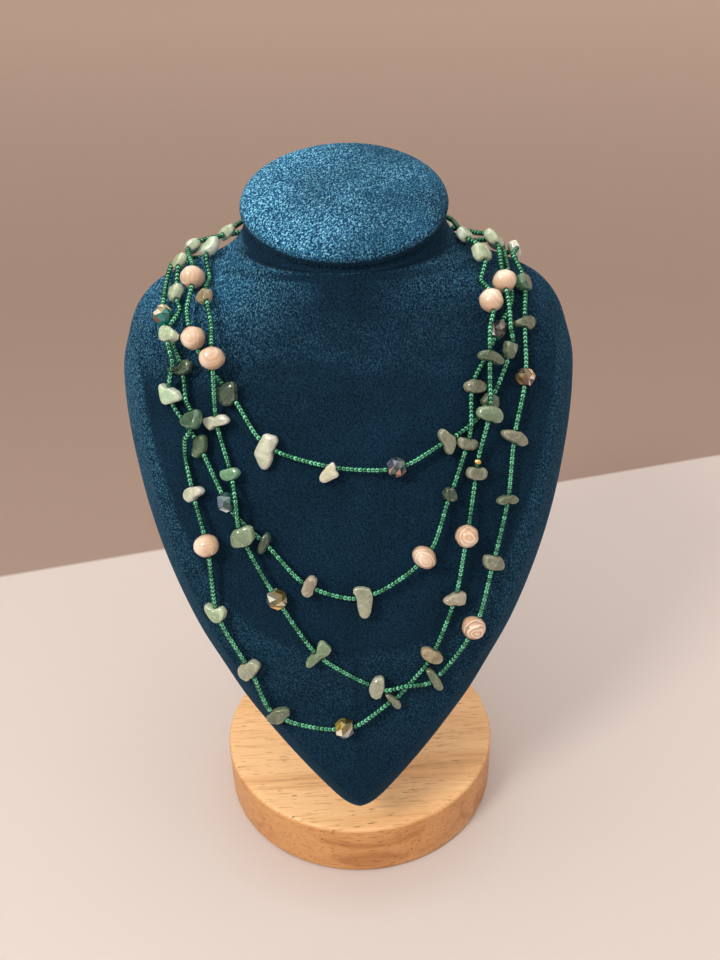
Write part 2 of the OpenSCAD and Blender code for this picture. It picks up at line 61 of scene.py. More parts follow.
def makeCamera():
    data = bpy.data.cameras.new("camera")
    data.lens = cameraSettings["lens"]
    data.sensor_width = 36
    data.clip_start = 0.01
    data.clip_end = 20
    camera = addObject("camera", data)
    place = Matrix.Translation(Vector(cameraSettings["place"]) * mm)
    tilt = Matrix.Rotation(math.radians(90 - cameraSettings["down"]), 4, "X")
    roll = Matrix.Rotation(math.radians(cameraSettings["roll"]), 4, "Z")
    camera.matrix_world = place @ tilt @ roll
    bpy.context.scene.camera = camera


makeCamera()


# Small helpers for meshes and materials
def smoothAlong(rows, t):
    # a smooth curve through the rows' numbers, at a running row number
    i = min(int(t), len(rows) - 2)
    f = t - i
    a = rows[max(i - 1, 0)]
    b = rows[i]
    c = rows[i + 1]
    d = rows[min(i + 2, len(rows) - 1)]
    return [
        q + 0.5 * f * (r - p + f * (2 * p - 5 * q + 4 * r - s + f * (3 * (q - r) + s - p)))
        for p, q, r, s in zip(a, b, c, d)
    ]


def between(value, low, high):
    return max(low, min(high, value))


def lookup(x, pairs):
    # straight lines between the pairs
    for (x0, y0), (x1, y1) in zip(pairs, pairs[1:]):
        if x <= x1:
            return y0 + (y1 - y0) * between((x - x0) / (x1 - x0), 0, 1)
    return pairs[-1][1]


def facesOut(mesh):
    work = bmesh.new()
    work.from_mesh(mesh)
    bmesh.ops.recalc_face_normals(work, faces=work.faces)
    work.to_mesh(mesh)
    work.free()


def newPiece(name, vertices, faces, material, smooth=True):
    mesh = bpy.data.meshes.new(name)
    mesh.from_pydata([Vector(v) * mm for v in vertices], [], faces)
    mesh.validate()
    facesOut(mesh)
    mesh.update()
    mesh.materials.append(material)
    if smooth:
        mesh.shade_smooth()
    return dressed(addObject(name, mesh))


def dressed(piece):
    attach(piece, "root")
    return piece


def refinish(node, material):
    # a CAD node keeps its mesh and gets another material
    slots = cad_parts[node].data.materials
    slots.clear()
    slots.append(material)


def around(count, shift=0):
    # angles spread evenly round a circle
    return [2 * math.pi * (j + shift) / count for j in range(count)]


def fanFaces(hub, ring, sides):
    # triangles that close the end of a tube
    first = ring * sides
    return [(hub, first + j, first + (j + 1) % sides) for j in range(sides)]


def ringFaces(ringCount, sides, first=0, closed=False):
    # the skin of a tube, which is closed where its last ring meets its first
    faces = []
    for i in range(ringCount if closed else ringCount - 1):
        for j in range(sides):
            a = first + i * sides + j
            b = first + i * sides + (j + 1) % sides
            c = first + ((i + 1) % ringCount) * sides + (j + 1) % sides
            d = first + ((i + 1) % ringCount) * sides + j
            faces.append((a, b, c, d))
    return faces


def paint(piece, colours, name="tint"):
    # one colour for each vertex
    layer = piece.data.color_attributes.new(name, "FLOAT_COLOR", "POINT")
    for spot, colour in zip(layer.data, colours):
        spot.color = (*colour, 1)


def newMaterial(name, finish):
    material = bpy.data.materials.new(name)
    material.use_nodes = True
    tree = material.node_tree
    shader = tree.nodes["Principled BSDF"]
    for socket, value in finish.items():
        shader.inputs[socket].default_value = value
    return material, tree, shader


def addNode(tree, kind, inputs, **settings):
    # inputs are values, or outputs of other nodes, by socket name or number
    node = tree.nodes.new(kind)
    for key, value in settings.items():
        setattr(node, key, value)
    for key, value in inputs.items():
        if isinstance(value, bpy.types.NodeSocket):
            tree.links.new(value, node.inputs[key])
        else:
            node.inputs[key].default_value = value
    return node


def patternSpace(tree, stretch=(1, 1, 1), turn=(0, 0, 0)):
    # the pattern is this many times longer along each axis, and then turned by degrees
    place = addNode(tree, "ShaderNodeTexCoord", {})
    mapping = addNode(tree, "ShaderNodeMapping", {
        "Vector": place.outputs["Object"],
        "Scale": stretch,
        "Rotation": [math.radians(angle) for angle in turn],
    }, vector_type="TEXTURE")
    return mapping.outputs["Vector"]


def noiseField(tree, vector, scale, detail=2.0, roughness=0.5, distortion=0.0):
    field = addNode(tree, "ShaderNodeTexNoise", {
        "Vector": vector,
        "Scale": scale,
        "Detail": detail,
        "Roughness": roughness,
        "Distortion": distortion,
    })
    return field.outputs["Fac"]


def remap(tree, value, low, high, newLow=0.0, newHigh=1.0):
    node = addNode(tree, "ShaderNodeMapRange", {
        "Value": value,
        "From Min": low,
        "From Max": high,
        "To Min": newLow,
        "To Max": newHigh,
    })
    return node.outputs["Result"]


def readAttribute(tree, name, output="Fac"):
    return addNode(tree, "ShaderNodeAttribute", {}, attribute_name=name).outputs[output]


def calculate(tree, operation, first, second=0.0):
    return addNode(tree, "ShaderNodeMath", {0: first, 1: second}, operation=operation).outputs[0]


def blendColours(tree, share, first, second, way="MIX"):
    inputs = {0: share, 6: first, 7: second}
    node = addNode(tree, "ShaderNodeMix", inputs, data_type="RGBA", blend_type=way)
    return node.outputs[2]


def addBump(tree, shader, height, strength, distance):
    inputs = {"Height": height, "Strength": strength, "Distance": distance * mm}
    bump = addNode(tree, "ShaderNodeBump", inputs)
    tree.links.new(bump.outputs["Normal"], shader.inputs["Normal"])
    return bump


# Bust: the same rows as the CAD's, with the surface run smoothly between them
# height, half width, rim's y, depth in front of the rim, depth behind it, kind of section, tilt in degrees
bustRows = [
    (36.0, 1.8, -53.0, 1.5, 1.5, 0.00, 0),
    (36.8, 3.6, -52.7, 3.0, 3.4, 0.00, 0),
    (39.5, 7.0, -52.0, 4.6, 5.4, 0.00, 0),
    (46.0, 13.6, -49.5, 5.8, 7.2, 0.00, 0),
    (54.5, 21.6, -46.0, 6.6, 9.0, 0.00, 0),
    (63.0, 29.0, -42.3, 7.2, 10.6, 0.00, 0),
    (71.0, 35.3, -39.0, 7.8, 12.0, 0.00, 0),
    (80.0, 41.4, -35.1, 9.6, 13.6, 0.00, 0),
    (90.0, 47.8, -30.9, 12.2, 15.2, 0.00, 0),
    (101.0, 53.4, -26.2, 14.4, 17.2, 0.00, 0),
    (113.0, 58.4, -21.1, 16.0, 19.6, 0.00, 0),
    (125.0, 62.3, -16.0, 17.0, 22.4, 0.00, 0),
    (137.0, 65.2, -10.9, 17.6, 25.6, 0.00, 0),
    (148.0, 67.2, -6.3, 17.9, 28.8, 0.00, 0),
    (158.0, 68.3, -2.0, 18.0, 32.0, 0.00, 0),
    (167.0, 68.3, 1.8, 18.0, 35.0, 0.10, 0),
    (174.5, 66.5, 5.2, 18.0, 37.0, 0.25, 0),
    (180.0, 64.8, 8.2, 18.4, 37.6, 0.45, 0),
    (184.5, 62.0, 11.2, 19.4, 36.4, 0.70, 0),
    (188.0, 58.2, 13.8, 20.6, 34.2, 0.90, 0),
    (190.8, 52.8, 15.8, 21.8, 31.6, 1.00, 1),
    (193.2, 47.0, 17.2, 22.8, 29.4, 1.15, 3),
    (195.2, 41.0, 18.2, 23.6, 27.8, 1.35, 6),
    (197.2, 36.0, 19.0, 24.4, 26.8, 1.65, 10),
    (199.6, 32.8, 19.6, 25.4, 26.4, 1.90, 15),
    (202.6, 31.0, 20.0, 26.8, 26.8, 2.00, 21),
    (207.6, 30.3, 20.3, 28.0, 28.0, 2.00, 28),
]
bust = {
    "rimWidth": 6.0,
    "rimHeight": 5.5,
    "lean": 23.0,         # of the whole bust, in degrees
    "tip": 0.3,           # how far the lowest point hangs under the first row
    "levels": 150,
    "rimSteps": 8,
    "frontSteps": 76,
    "backSteps": 60,
    "padding": 0.25,      # height of the soft unevenness of the stuffing
    "lumps": (0.07, 0.17),    # how close its large and its small lumps lie
}


def rimSlope(i):
    low = bustRows[max(i - 1, 0)]
    high = bustRows[min(i + 1, len(bustRows) - 1)]
    rise = (high[0] - low[0]) / math.cos(math.radians(bust["lean"]))
    return min(3, math.hypot(1, (high[1] - low[1]) / rise))


bustSections = [(*row, rimSlope(i)) for i, row in enumerate(bustRows)]


# The kind of section runs from 0, the chest, over 1, the shoulders, to 2, the round neck.
# u is the share of the half width, and the depths swell as one minus a power of it.
def frontDepth(section, u):
    half, front, kind, slope = section[1], section[3], section[5], section[7]
    rim = min(bust["rimHeight"], 0.75 * front) * max(0, 1 - kind)
    share = between((1 - u) * half / (bust["rimWidth"] * slope), 0, 1)
    swell = max(0, 1 - u ** lookup(kind, [(0, 2.2), (1, 1.7), (2, 2)]))
    swell **= lookup(kind, [(0, 0.9), (1, 1.2), (2, 0.5)])
    return rim * share ** 0.8 + (front - rim) * swell


def backDepth(section, u):
    kind = section[5]
    swell = max(0, 1 - u ** lookup(kind, [(0, 6), (1, 1.8), (2, 2)]))
    return section[4] * swell ** lookup(kind, [(0, 0.5), (1, 1.1), (2, 0.5)])


def bustPoint(section, across, behind):
    # across runs from 1 at the right rim to -1 at the left one
    z, half, rimY = section[:3]
    depth = backDepth(section, abs(across)) if behind else -frontDepth(section, abs(across))
    lean = math.radians(section[6])
    return Vector((half * across, rimY + depth * math.cos(lean), z + depth * math.sin(lean)))


def bustColumns(section):
    # places across the section: closer on the rim, with a column on the crease beside it
    crease = between(1 - bust["rimWidth"] * section[7] / section[1], 0.3, 0.93)
    rim = [1 - (1 - crease) * k / bust["rimSteps"] for k in range(bust["rimSteps"])]
    half = bust["frontSteps"] // 2
    inner = [crease * math.sin(math.pi / 2 * (1 - k / half)) ** 0.9 for k in range(half)]
    right = rim + inner + [0]
    front = [(u, False) for u in right] + [(-u, False) for u in reversed(right[:-1])]
    turns = [math.pi * k / bust["backSteps"] for k in range(1, bust["backSteps"])]
    return front + [(-math.cos(turn), True) for turn in turns]


def makeBust(material):
    vertices = []
    last = len(bustSections) - 1
    large, small = bust["lumps"]
    for level in range(bust["levels"] + 1):
        section = smoothAlong(bustSections, last * level / bust["levels"])
        for across, behind in bustColumns(section):
            p = bustPoint(section, across, behind)
            edge = 1 - abs(across) ** 6
            lump = noise.noise(p * large) + 0.5 * noise.noise(p * small)
            p.y += (1 if behind else -1) * bust["padding"] * lump * edge
            vertices.append(p)
    sides = len(bustColumns(bustSections[0]))
    rings = bust["levels"] + 1
    faces = ringFaces(rings, sides)
    for ring in (0, rings - 1):
        middle = sum(vertices[ring * sides:(ring + 1) * sides], Vector()) / sides
        if ring == 0:
            middle.z = bustRows[0][0] - bust["tip"]
        faces += fanFaces(len(vertices), ring, sides)
        vertices.append(middle)
    piece = newPiece("bust", vertices, faces, material)
    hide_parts("neck_bust")
    return piece


# Microfibre cover: a fine dark nap in front, and painted light where it faces up, towards the left and beside
# the front's edge: paler, lit tufts with dark ones between
velvet = {
    "deep": (0.0010, 0.0075, 0.018, 1),
    "body": (0.0060, 0.0310, 0.063, 1),
    # painted light: lit copies of the cover's colours, for the places where light is painted on
    "paintedLitDeep": (0.002, 0.028, 0.080, 1),
    "paintedLitBody": (0.030, 0.210, 0.420, 1),
    "paintedLitPale": (0.320, 0.760, 1.000, 1),
    "grain": 2600,        # specks along a metre in front
    "tuft": 2200,         # tufts along a metre where it is brushed up
    "clouds": 60,         # darker and paler areas along a metre
    "length": 1.6,        # of a tuft to its width
    "slant": (-45, 28, 0),    # of the tufts, in degrees
    "relief": 0.6,        # height of the nap in millimetres
}


def makeVelvet():
    material, tree, shader = newMaterial("velvet", {
        "Roughness": 0.95,
        "Specular IOR Level": 0.1,
        "Sheen Weight": 0.1,
        "Sheen Roughness": 0.4,
        "Sheen Tint": (0.20, 0.62, 1.0, 1),
    })
    space = patternSpace(tree, (1, 1, velvet["length"]), velvet["slant"])
    grain = noiseField(tree, space, velvet["grain"], 2, 0.5)
    tufts = noiseField(tree, space, velvet["tuft"], 2, 0.55, 0.3)
    cloud = noiseField(tree, space, velvet["clouds"], 2)
    brushed = readAttribute(tree, "brushed")
    front = blendColours(tree, remap(tree, grain, 0.33, 0.67), velvet["deep"], velvet["body"])
    coarse = addNode(tree, "ShaderNodeMix", {0: remap(tree, brushed, 0.3, 0.55), 2: grain, 3: tufts})
    nap = coarse.outputs[0]
    paintedLitTufts = blendColours(tree, remap(tree, nap, 0.42, 0.54), velvet["paintedLitDeep"], velvet["paintedLitBody"])
    paintedLitTips = blendColours(tree, remap(tree, nap, 0.54, 0.65), paintedLitTufts, velvet["paintedLitPale"])
    # painted light: the lit colours replace the dark front where the cover is painted as lit
    paintedLitCover = blendColours(tree, brushed, front, paintedLitTips)
    dim = remap(tree, cloud, 0.3, 0.7, 0.85, 1.15)
    tint = addNode(tree, "ShaderNodeCombineXYZ", {0: dim, 1: dim, 2: dim})
    final = blendColours(tree, 1.0, paintedLitCover, tint.outputs[0], "MULTIPLY")
    tree.links.new(final, shader.inputs["Base Color"])
    tree.links.new(remap(tree, brushed, 0, 1, 0.10, 0.5), shader.inputs["Sheen Weight"])
    bump = addBump(tree, shader, tufts, 1.0, velvet["relief"])
    tree.links.new(remap(tree, brushed, 0, 0.6, 0.25, 1), bump.inputs["Strength"])
    return material


# Edge of the padded, egg-shaped front of the bust: height, half width,
# and how much painted light the band outside it gets, on the left and on the right
frontEdge = [
    (50, 0, 0.00, 0.00),
    (86, 0, 0.05, 0.05),
    (88, 4, 0.05, 0.05),
    (90, 18, 0.06, 0.06),
    (95, 29, 0.07, 0.06),
    (101, 35.5, 0.08, 0.07),
    (107, 40.5, 0.09, 0.07),
    (114, 45, 0.10, 0.08),
    (126, 51, 0.12, 0.08),
    (140, 55.5, 0.16, 0.08),
    (154, 59, 0.21, 0.08),
    (175, 62, 0.24, 0.08),
]
paintedNapLight = {
    "middle": 0.62,       # share of painted light in the middle
    "paintedLeftLight": 0.012,   # how much more painted light for each millimetre to the left
    "patches": 0.35,
    "patchSize": 0.06,    # how close the patches lie
    "least": 0.12,
    "softEdge": 1.5,      # width of the front's edge
}


def brushUp(piece, low, high, edge=()):
    # painted light: the cover is paler where it faces upwards, from low to high, more so further left, and in
    # a band outside the front's edge
    layer = piece.data.attributes.new("brushed", "FLOAT", "POINT")
    halves = [(row[0], row[1]) for row in edge]
    paintedLeftBand = [(row[0], row[2]) for row in edge]
    paintedRightBand = [(row[0], row[3]) for row in edge]
    for vertex in piece.data.vertices:
        p = vertex.co / mm
        paintedUpLight = between((vertex.normal.z - low) / (high - low), 0, 1)
        patch = paintedNapLight["patches"] * noise.noise(p * paintedNapLight["patchSize"])
        share = between(paintedNapLight["middle"] - p.x * paintedNapLight["paintedLeftLight"] + patch, paintedNapLight["least"], 1)
        strip = 0
        if edge:
            outside = (abs(p.x) - lookup(p.z, halves)) / paintedNapLight["softEdge"]
            strip = lookup(p.z, paintedLeftBand if p.x < 0 else paintedRightBand) * between(outside, 0, 1)
        layer.data[vertex.index].value = max(paintedUpLight * share, strip)


velvetCover = makeVelvet()
brushUp(makeBust(velvetCover), 0.40, 1.15, frontEdge)
print("bust made")

# Pad on the neck's slanted end: share of its thickness, size beside the neck's end
padRows = [
    (0.00, 0.960),
    (0.12, 1.015),
    (0.36, 1.035),
    (0.62, 1.015),
    (0.80, 0.950),
    (0.92, 0.800),
    (1.00, 0.480),
]
pad = {
    "thickness": 4.5,
    "gap": 0.1,
    "sides": 160,
    "steps": 60,
    "crown": 0.5,         # how far the middle stands over the rolled edge
    "wave": 0.004,        # how uneven its outline is
}


def makePad(material):
    z, half, rimY, front = bustRows[-1][:4]
    lean = Matrix.Rotation(math.radians(bustRows[-1][6]), 3, "X")
    rows = padRows + [(1.0 + 0.6 * pad["crown"] / pad["thickness"], 0.24)]
    rings = pad["steps"] + 1
    vertices = []
    for step in range(rings):
        rise, size = smoothAlong(rows, (len(rows) - 1) * step / pad["steps"])
        for turn in around(pad["sides"]):
            q = Vector((3 * math.cos(turn), 3 * math.sin(turn), 2 * rise))
            wave = 1 + pad["wave"] * noise.noise(q)
            p = Vector((
                half * size * wave * math.cos(turn),
                front * size * wave * -math.sin(turn),
                pad["thickness"] * rise + pad["gap"],
            ))
            vertices.append(lean @ p + Vector((0, rimY, z)))
    faces = ringFaces(rings, pad["sides"])
    for ring, height in ((0, pad["gap"]), (rings - 1, pad["thickness"] + pad["crown"] + pad["gap"])):
        faces += fanFaces(len(vertices), ring, pad["sides"])
        vertices.append(lean @ Vector((0, 0, height)) + Vector((0, rimY, z)))
    piece = newPiece("neckPad", vertices, faces, material)
    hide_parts("neck_cap")
    return piece


# painted light on the pad's top, which faces up, paler to the left
brushUp(makePad(velvetCover), -0.1, 0.75)
print("neck pad made")

# Base and post: pale wood, with its grain along X in the base and upwards in the post
base = {
    "diameter": 100.0,
    "height": 20.0,
    "edge": 1.5,          # radius of the rounded edges
    "edgeSteps": 6,
    "sides": 180,
    "postHole": (0.0, 4.0, 12.6, 8.0),   # x, y, diameter, depth
}
wood = {
    # painted light: the top is multiplied paler as if washed by a sheen, the side darker, partly the end
    # grain's deeper colour and partly painted shade
    "sideGrainAndShade": (0.88, 0.70, 0.50, 1),
    "paintedTopSheen": (1.24, 1.26, 1.24, 1),
    "light": (0.74, 0.47, 0.24, 1),
    "mid": (0.60, 0.32, 0.13, 1),
    "dark": (0.34, 0.145, 0.05, 1),
    "pore": (0.16, 0.065, 0.025, 1),
    "bands": 130,         # these four along a metre across the grain
    "hairs": 1300,
    "patches": 26,
    "pores": 1900,
}


def makeWood(name, turn):
    # the grain runs along X, turned by degrees
    material, tree, shader = newMaterial(name, {
        "Roughness": 0.42,
        "Specular IOR Level": 0.45,
    })
    space = patternSpace(tree, (16, 1, 1), turn)
    bands = noiseField(tree, space, wood["bands"], 3, 0.55, 0.6)
    hairs = noiseField(tree, space, wood["hairs"], 2, 0.6)
    wide = noiseField(tree, patternSpace(tree, (4, 1, 1), turn), wood["patches"], 2)
    pores = noiseField(tree, patternSpace(tree, (10, 1, 1), turn), wood["pores"], 1, 0.5)
    ground = blendColours(tree, remap(tree, bands, 0.42, 0.72), wood["light"], wood["mid"])
    patched = blendColours(tree, remap(tree, wide, 0.5, 0.72, 0, 0.55), ground, wood["mid"])
    browned = blendColours(tree, remap(tree, bands, 0.56, 0.70, 0, 0.45), patched, wood["dark"])
    haired = blendColours(tree, remap(tree, hairs, 0.54, 0.70, 0, 0.5), browned, wood["dark"])
    pored = blendColours(tree, remap(tree, pores, 0.66, 0.74, 0, 0.8), haired, wood["pore"])
    place = addNode(tree, "ShaderNodeTexCoord", {})
    parts = addNode(tree, "ShaderNodeSeparateXYZ", {0: place.outputs["Object"]})
    rim = base["height"] * mm - 0.0012      # the top's painted sheen starts in the rounded edge
    top = remap(tree, parts.outputs["Z"], rim, rim + 0.001)
    tone = blendColours(tree, top, wood["sideGrainAndShade"], wood["paintedTopSheen"])
    toned = blendColours(tree, 1.0, pored, tone, "MULTIPLY")
    tree.links.new(toned, shader.inputs["Base Color"])
    addBump(tree, shader, remap(tree, pores, 0.62, 0.78, 1, 0), 0.25, 0.15)
    return material


def baseProfile():
    # from the middle of the underside round the edge to the top
    r = base["diameter"] / 2
    h = base["height"]
    e = base["edge"]
    bends = [math.pi / 2 * k / base["edgeSteps"] for k in range(base["edgeSteps"] + 1)]
    profile = [(r * k / 6, 0) for k in range(1, 6)]
    profile += [(r - e + e * math.sin(turn), e - e * math.cos(turn)) for turn in bends]
    profile += [(r - e + e * math.cos(turn), h - e + e * math.sin(turn)) for turn in bends]
    return profile


def makeBase(material):
    sides = base["sides"]
    holeX, holeY, holeWidth, holeDepth = base["postHole"]
    r = base["diameter"] / 2
    vertices = []
    for reach, z in baseProfile():
        for turn in around(sides):
            vertices.append((reach * math.cos(turn), reach * math.sin(turn), z))
    # inwards over the top and down the hole: share of the way to the rim, height over the top
    for share, z in ((0.6, 0), (0.25, 0), (0, 0), (0, -holeDepth)):
        for turn in around(sides):
            reach = holeWidth / 2 + share * (r - base["edge"] - holeWidth / 2)
            x = reach * math.cos(turn) + (1 - share) * holeX
            y = reach * math.sin(turn) + (1 - share) * holeY
            vertices.append((x, y, base["height"] + z))
    rings = len(vertices) // sides
    faces = ringFaces(rings, sides)
    for ring, hub in ((0, (0, 0, 0)), (rings - 1, (holeX, holeY, base["height"] - holeDepth))):
        faces += fanFaces(len(vertices), ring, sides)
        vertices.append(hub)
    piece = newPiece("baseDisc", vertices, faces, material)
    piece.data.set_sharp_from_angle(angle=math.radians(50))
    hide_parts("base_disc")
    return piece


makeBase(makeWood("baseWood", (0, 0, 2)))
refinish("post", makeWood("postWood", (0, 90, 0)))
print("base and post made")

# Necklace: four windings of one string, each from the left shoulder over the chest to the right
# shoulder and round the back of the neck. A place on it is x, y, z and what it holds. Beads then have
# their size across and along the string, chips also their thickness, how far they hang out,
# their slant, and each its look.
windingA = [
    (-46.5, 18.0, 197.5, "chip", 5.2, 4.6, 4.2, 0.3, 0.0, "celadon"),
    (-45.0, 4.0, 191.0, "pearl", 7.4, 6.4),
    (-46.2, -4.0, 183.6, "bend"),
    (-44.0, -10.5, 177.0, "pearl", 7.2, 7.0),
    (-40.5, -12.5, 169.5, "bend"),
    (-34.0, -18.5, 163.0, "chip", 7.4, 5.8, 4.4, 0.2, 0.4, "forest"),
    (-23.5, -25.0, 149.5, "chip", 10.8, 5.0, 4.6, 1.7, 0.6, "milk"),
    (-5.5, -29.0, 144.0, "chip", 6.4, 3.2, 4.4, 1.2, 0.8, "cream"),
    (13.0, -29.5, 143.5, "crystal", 5.8, 4.9),
    (28.0, -25.0, 149.5, "chip", 8.2, 4.2, 4.4, 0.2, 0.0, "taupe"),
    (35.0, -21.0, 152.5, "bend"),
    (40.5, -18.5, 158.5, "chip", 5.8, 4.8, 3.6, 0.2, 0.3, "smoke"),
    (46.5, -13.0, 171.5, "chip", 5.0, 5.0, 4.4, -0.3, 0.5, "smoke"),
    (46.5, -11.5, 178.0, "bend"),
    (46.5, -6.0, 184.0, "bend"),
    (46.0, 0.0, 188.5, "pearl", 7.1, 6.4),
    (45.2, 15.0, 197.5, "chip", 7.6, 5.6, 4.2, -0.4, 0.4, "celadon"),
    (41.5, 23.5, 198.0, "bend"),
    (32.5, 32.5, 198.5, "chip", 5.2, 4.6, 5.0, 0.0, 0.3, "mint"),
    (21.5, 42.0, 199.0, "chip", 5.0, 4.2, 5.2, 0.0, 0.2, "rose"),
    (7.5, 48.0, 198.5, "chip", 5.2, 5.0, 4.8, 0.0, 0.4, "jade"),
    (-6.0, 48.5, 197.5, "crystal", 5.4, 4.8),
    (-20.0, 43.5, 196.0, "chip", 5.0, 4.6, 5.0, 0.0, 0.3, "milk"),
    (-32.0, 35.5, 195.0, "chip", 5.2, 4.4, 5.0, 0.0, 0.2, "forest"),
    (-44.5, 23.0, 193.0, "bend"),
    (-49.0, 17.0, 194.0, "bend"),
]
windingB = [
    (-50.0, 12.5, 194.0, "chip", 6.2, 4.6, 4.2, 0.0, 0.2, "celadon"),
    (-50.0, 3.0, 187.0, "chip", 5.4, 5.4, 4.2, 0.3, 0.3, "celadon"),
    (-48.5, -2.5, 183.0, "bend"),
    (-51.0, -9.5, 178.0, "chip", 6.6, 4.8, 4.2, 0.0, 0.2, "celadon"),
    (-50.0, -14.0, 171.0, "bend"),
    (-51.5, -15.0, 161.5, "chip", 7.6, 4.8, 4.2, 0.0, 0.8, "mint"),
    (-48.0, -17.5, 154.0, "bend"),
    (-43.5, -22.5, 148.5, "chip", 6.6, 4.8, 4.0, 0.0, 0.4, "moss"),
    (-36.0, -30.0, 134.0, "crystal", 5.8, 5.2),
    (-32.5, -31.0, 128.5, "bend"),
    (-25.5, -35.0, 123.0, "chip", 6.8, 3.0, 4.2, 0.1, 0.4, "forest"),
    (-13.0, -40.5, 111.5, "chip", 6.8, 3.8, 4.4, 0.0, 0.3, "rose"),
    (3.0, -41.5, 108.0, "chip", 10.0, 5.0, 4.4, 1.8, 0.5, "chalk"),
    (20.5, -38.5, 119.0, "pearl", 7.8, 6.2),
    (28.5, -30.5, 135.0, "chip", 4.6, 4.2, 4.0, 0.0, 0.3, "forest"),
    (33.5, -25.0, 148.0, "chip", 6.6, 3.6, 4.2, 0.1, 0.3, "taupe"),
    (34.5, -24.5, 153.5, "bend"),
    (35.5, -18.0, 163.0, "chip", 7.0, 4.2, 4.2, 0.8, 0.3, "taupe"),
    (39.5, -12.5, 169.5, "bend"),
    (43.5, -9.0, 176.5, "crystal", 5.0, 5.0),
    (48.5, -0.5, 183.0, "bend"),
    (48.5, 9.5, 190.5, "bend"),
    (48.4, 16.5, 193.8, "bend"),
    (46.5, 23.0, 195.5, "chip", 5.6, 5.0, 4.2, 0.2, 0.3, "celadon"),
    (35.5, 34.0, 194.0, "chip", 5.0, 4.4, 5.0, 0.0, 0.3, "milk"),
    (25.0, 41.0, 194.5, "chip", 5.0, 4.6, 5.0, 0.0, 0.3, "jade"),
    (15.5, 49.0, 196.0, "bend"),
    (1.0, 54.0, 199.5, "chip", 5.2, 4.6, 5.0, 0.0, 0.2, "cream"),
    (-13.5, 50.0, 203.0, "chip", 5.0, 5.0, 5.0, 0.0, 0.4, "forest"),
    (-27.0, 38.5, 204.0, "chip", 5.2, 4.6, 5.0, 0.0, 0.3, "mint"),
]
windingC = [
    (-36.5, 22.0, 200.5, "chip", 6.8, 3.6, 4.2, 0.0, 0.4, "celadon"),
    (-41.0, 14.5, 197.5, "chip", 6.6, 6.0, 4.4, 0.0, 0.4, "mint"),
    (-40.4, 6.0, 190.2, "bend"),
    (-40.2, -2.6, 187.4, "chip", 5.4, 4.8, 4.0, 1.0, 0.2, "tan"),
    (-38.6, -9.5, 180.0, "bend"),
    (-38.0, -17.0, 173.0, "pearl", 7.5, 6.7),
    (-38.0, -21.0, 155.5, "chip", 9.0, 3.0, 4.2, 0.0, 0.5, "milk"),
    (-34.5, -27.0, 141.5, "chip", 6.4, 3.6, 4.2, 0.1, 0.3, "jade"),
    (-33.0, -32.5, 135.5, "bend"),
    (-31.5, -35.5, 125.5, "chip", 8.0, 5.8, 4.6, 0.1, 0.6, "sage"),
    (-22.5, -41.0, 107.5, "crystal", 6.0, 5.4),
    (-11.0, -45.5, 90.0, "chip", 9.8, 2.8, 4.4, 0.3, 0.5, "sage"),
    (6.0, -48.0, 79.5, "chip", 7.4, 4.6, 4.4, -0.2, 0.4, "chalk"),
    (14.5, -49.0, 80.5, "bend"),
    (23.5, -46.5, 81.0, "chip", 8.6, 3.0, 4.0, 0.0, 0.3, "olive"),
    (35.0, -42.5, 96.5, "pearl", 7.3, 7.0),
    (41.0, -35.5, 114.5, "chip", 7.6, 4.4, 4.2, 0.1, 0.3, "taupe"),
    (45.5, -28.5, 132.0, "chip", 7.6, 2.8, 3.8, -0.1, 0.2, "olive"),
    (47.5, -22.0, 148.5, "chip", 9.8, 3.8, 4.2, 0.0, 1.0, "taupe"),
    (51.0, -14.5, 164.0, "crystal", 5.8, 4.6),
    (51.5, -6.0, 178.0, "chip", 8.8, 3.6, 4.2, -0.3, 0.3, "olive"),
    (52.5, 4.0, 187.0, "chip", 5.6, 5.8, 4.4, 0.2, 0.3, "leaf"),
    (50.5, 12.5, 193.5, "bend"),
    (52.0, 18.0, 194.0, "chip", 6.4, 3.4, 4.0, 0.4, 0.3, "milk"),
    (48.5, 25.0, 190.0, "bend"),
    (39.0, 33.0, 191.0, "chip", 5.0, 4.4, 4.8, 0.0, 0.3, "jade"),
    (30.0, 42.0, 190.0, "chip", 5.0, 4.6, 5.0, 0.0, 0.3, "rose"),
    (16.0, 48.5, 190.0, "chip", 5.0, 4.2, 5.0, 0.0, 0.2, "mint"),
    (1.0, 50.5, 190.0, "chip", 5.0, 5.0, 5.0, 0.0, 0.4, "olive"),
    (-15.0, 48.5, 190.0, "crystal", 5.4, 4.8),
    (-30.0, 41.5, 190.0, "chip", 5.0, 4.6, 5.0, 0.0, 0.3, "forest"),
    (-40.5, 32.0, 191.0, "chip", 5.0, 4.4, 4.8, 0.0, 0.2, "mint"),
]
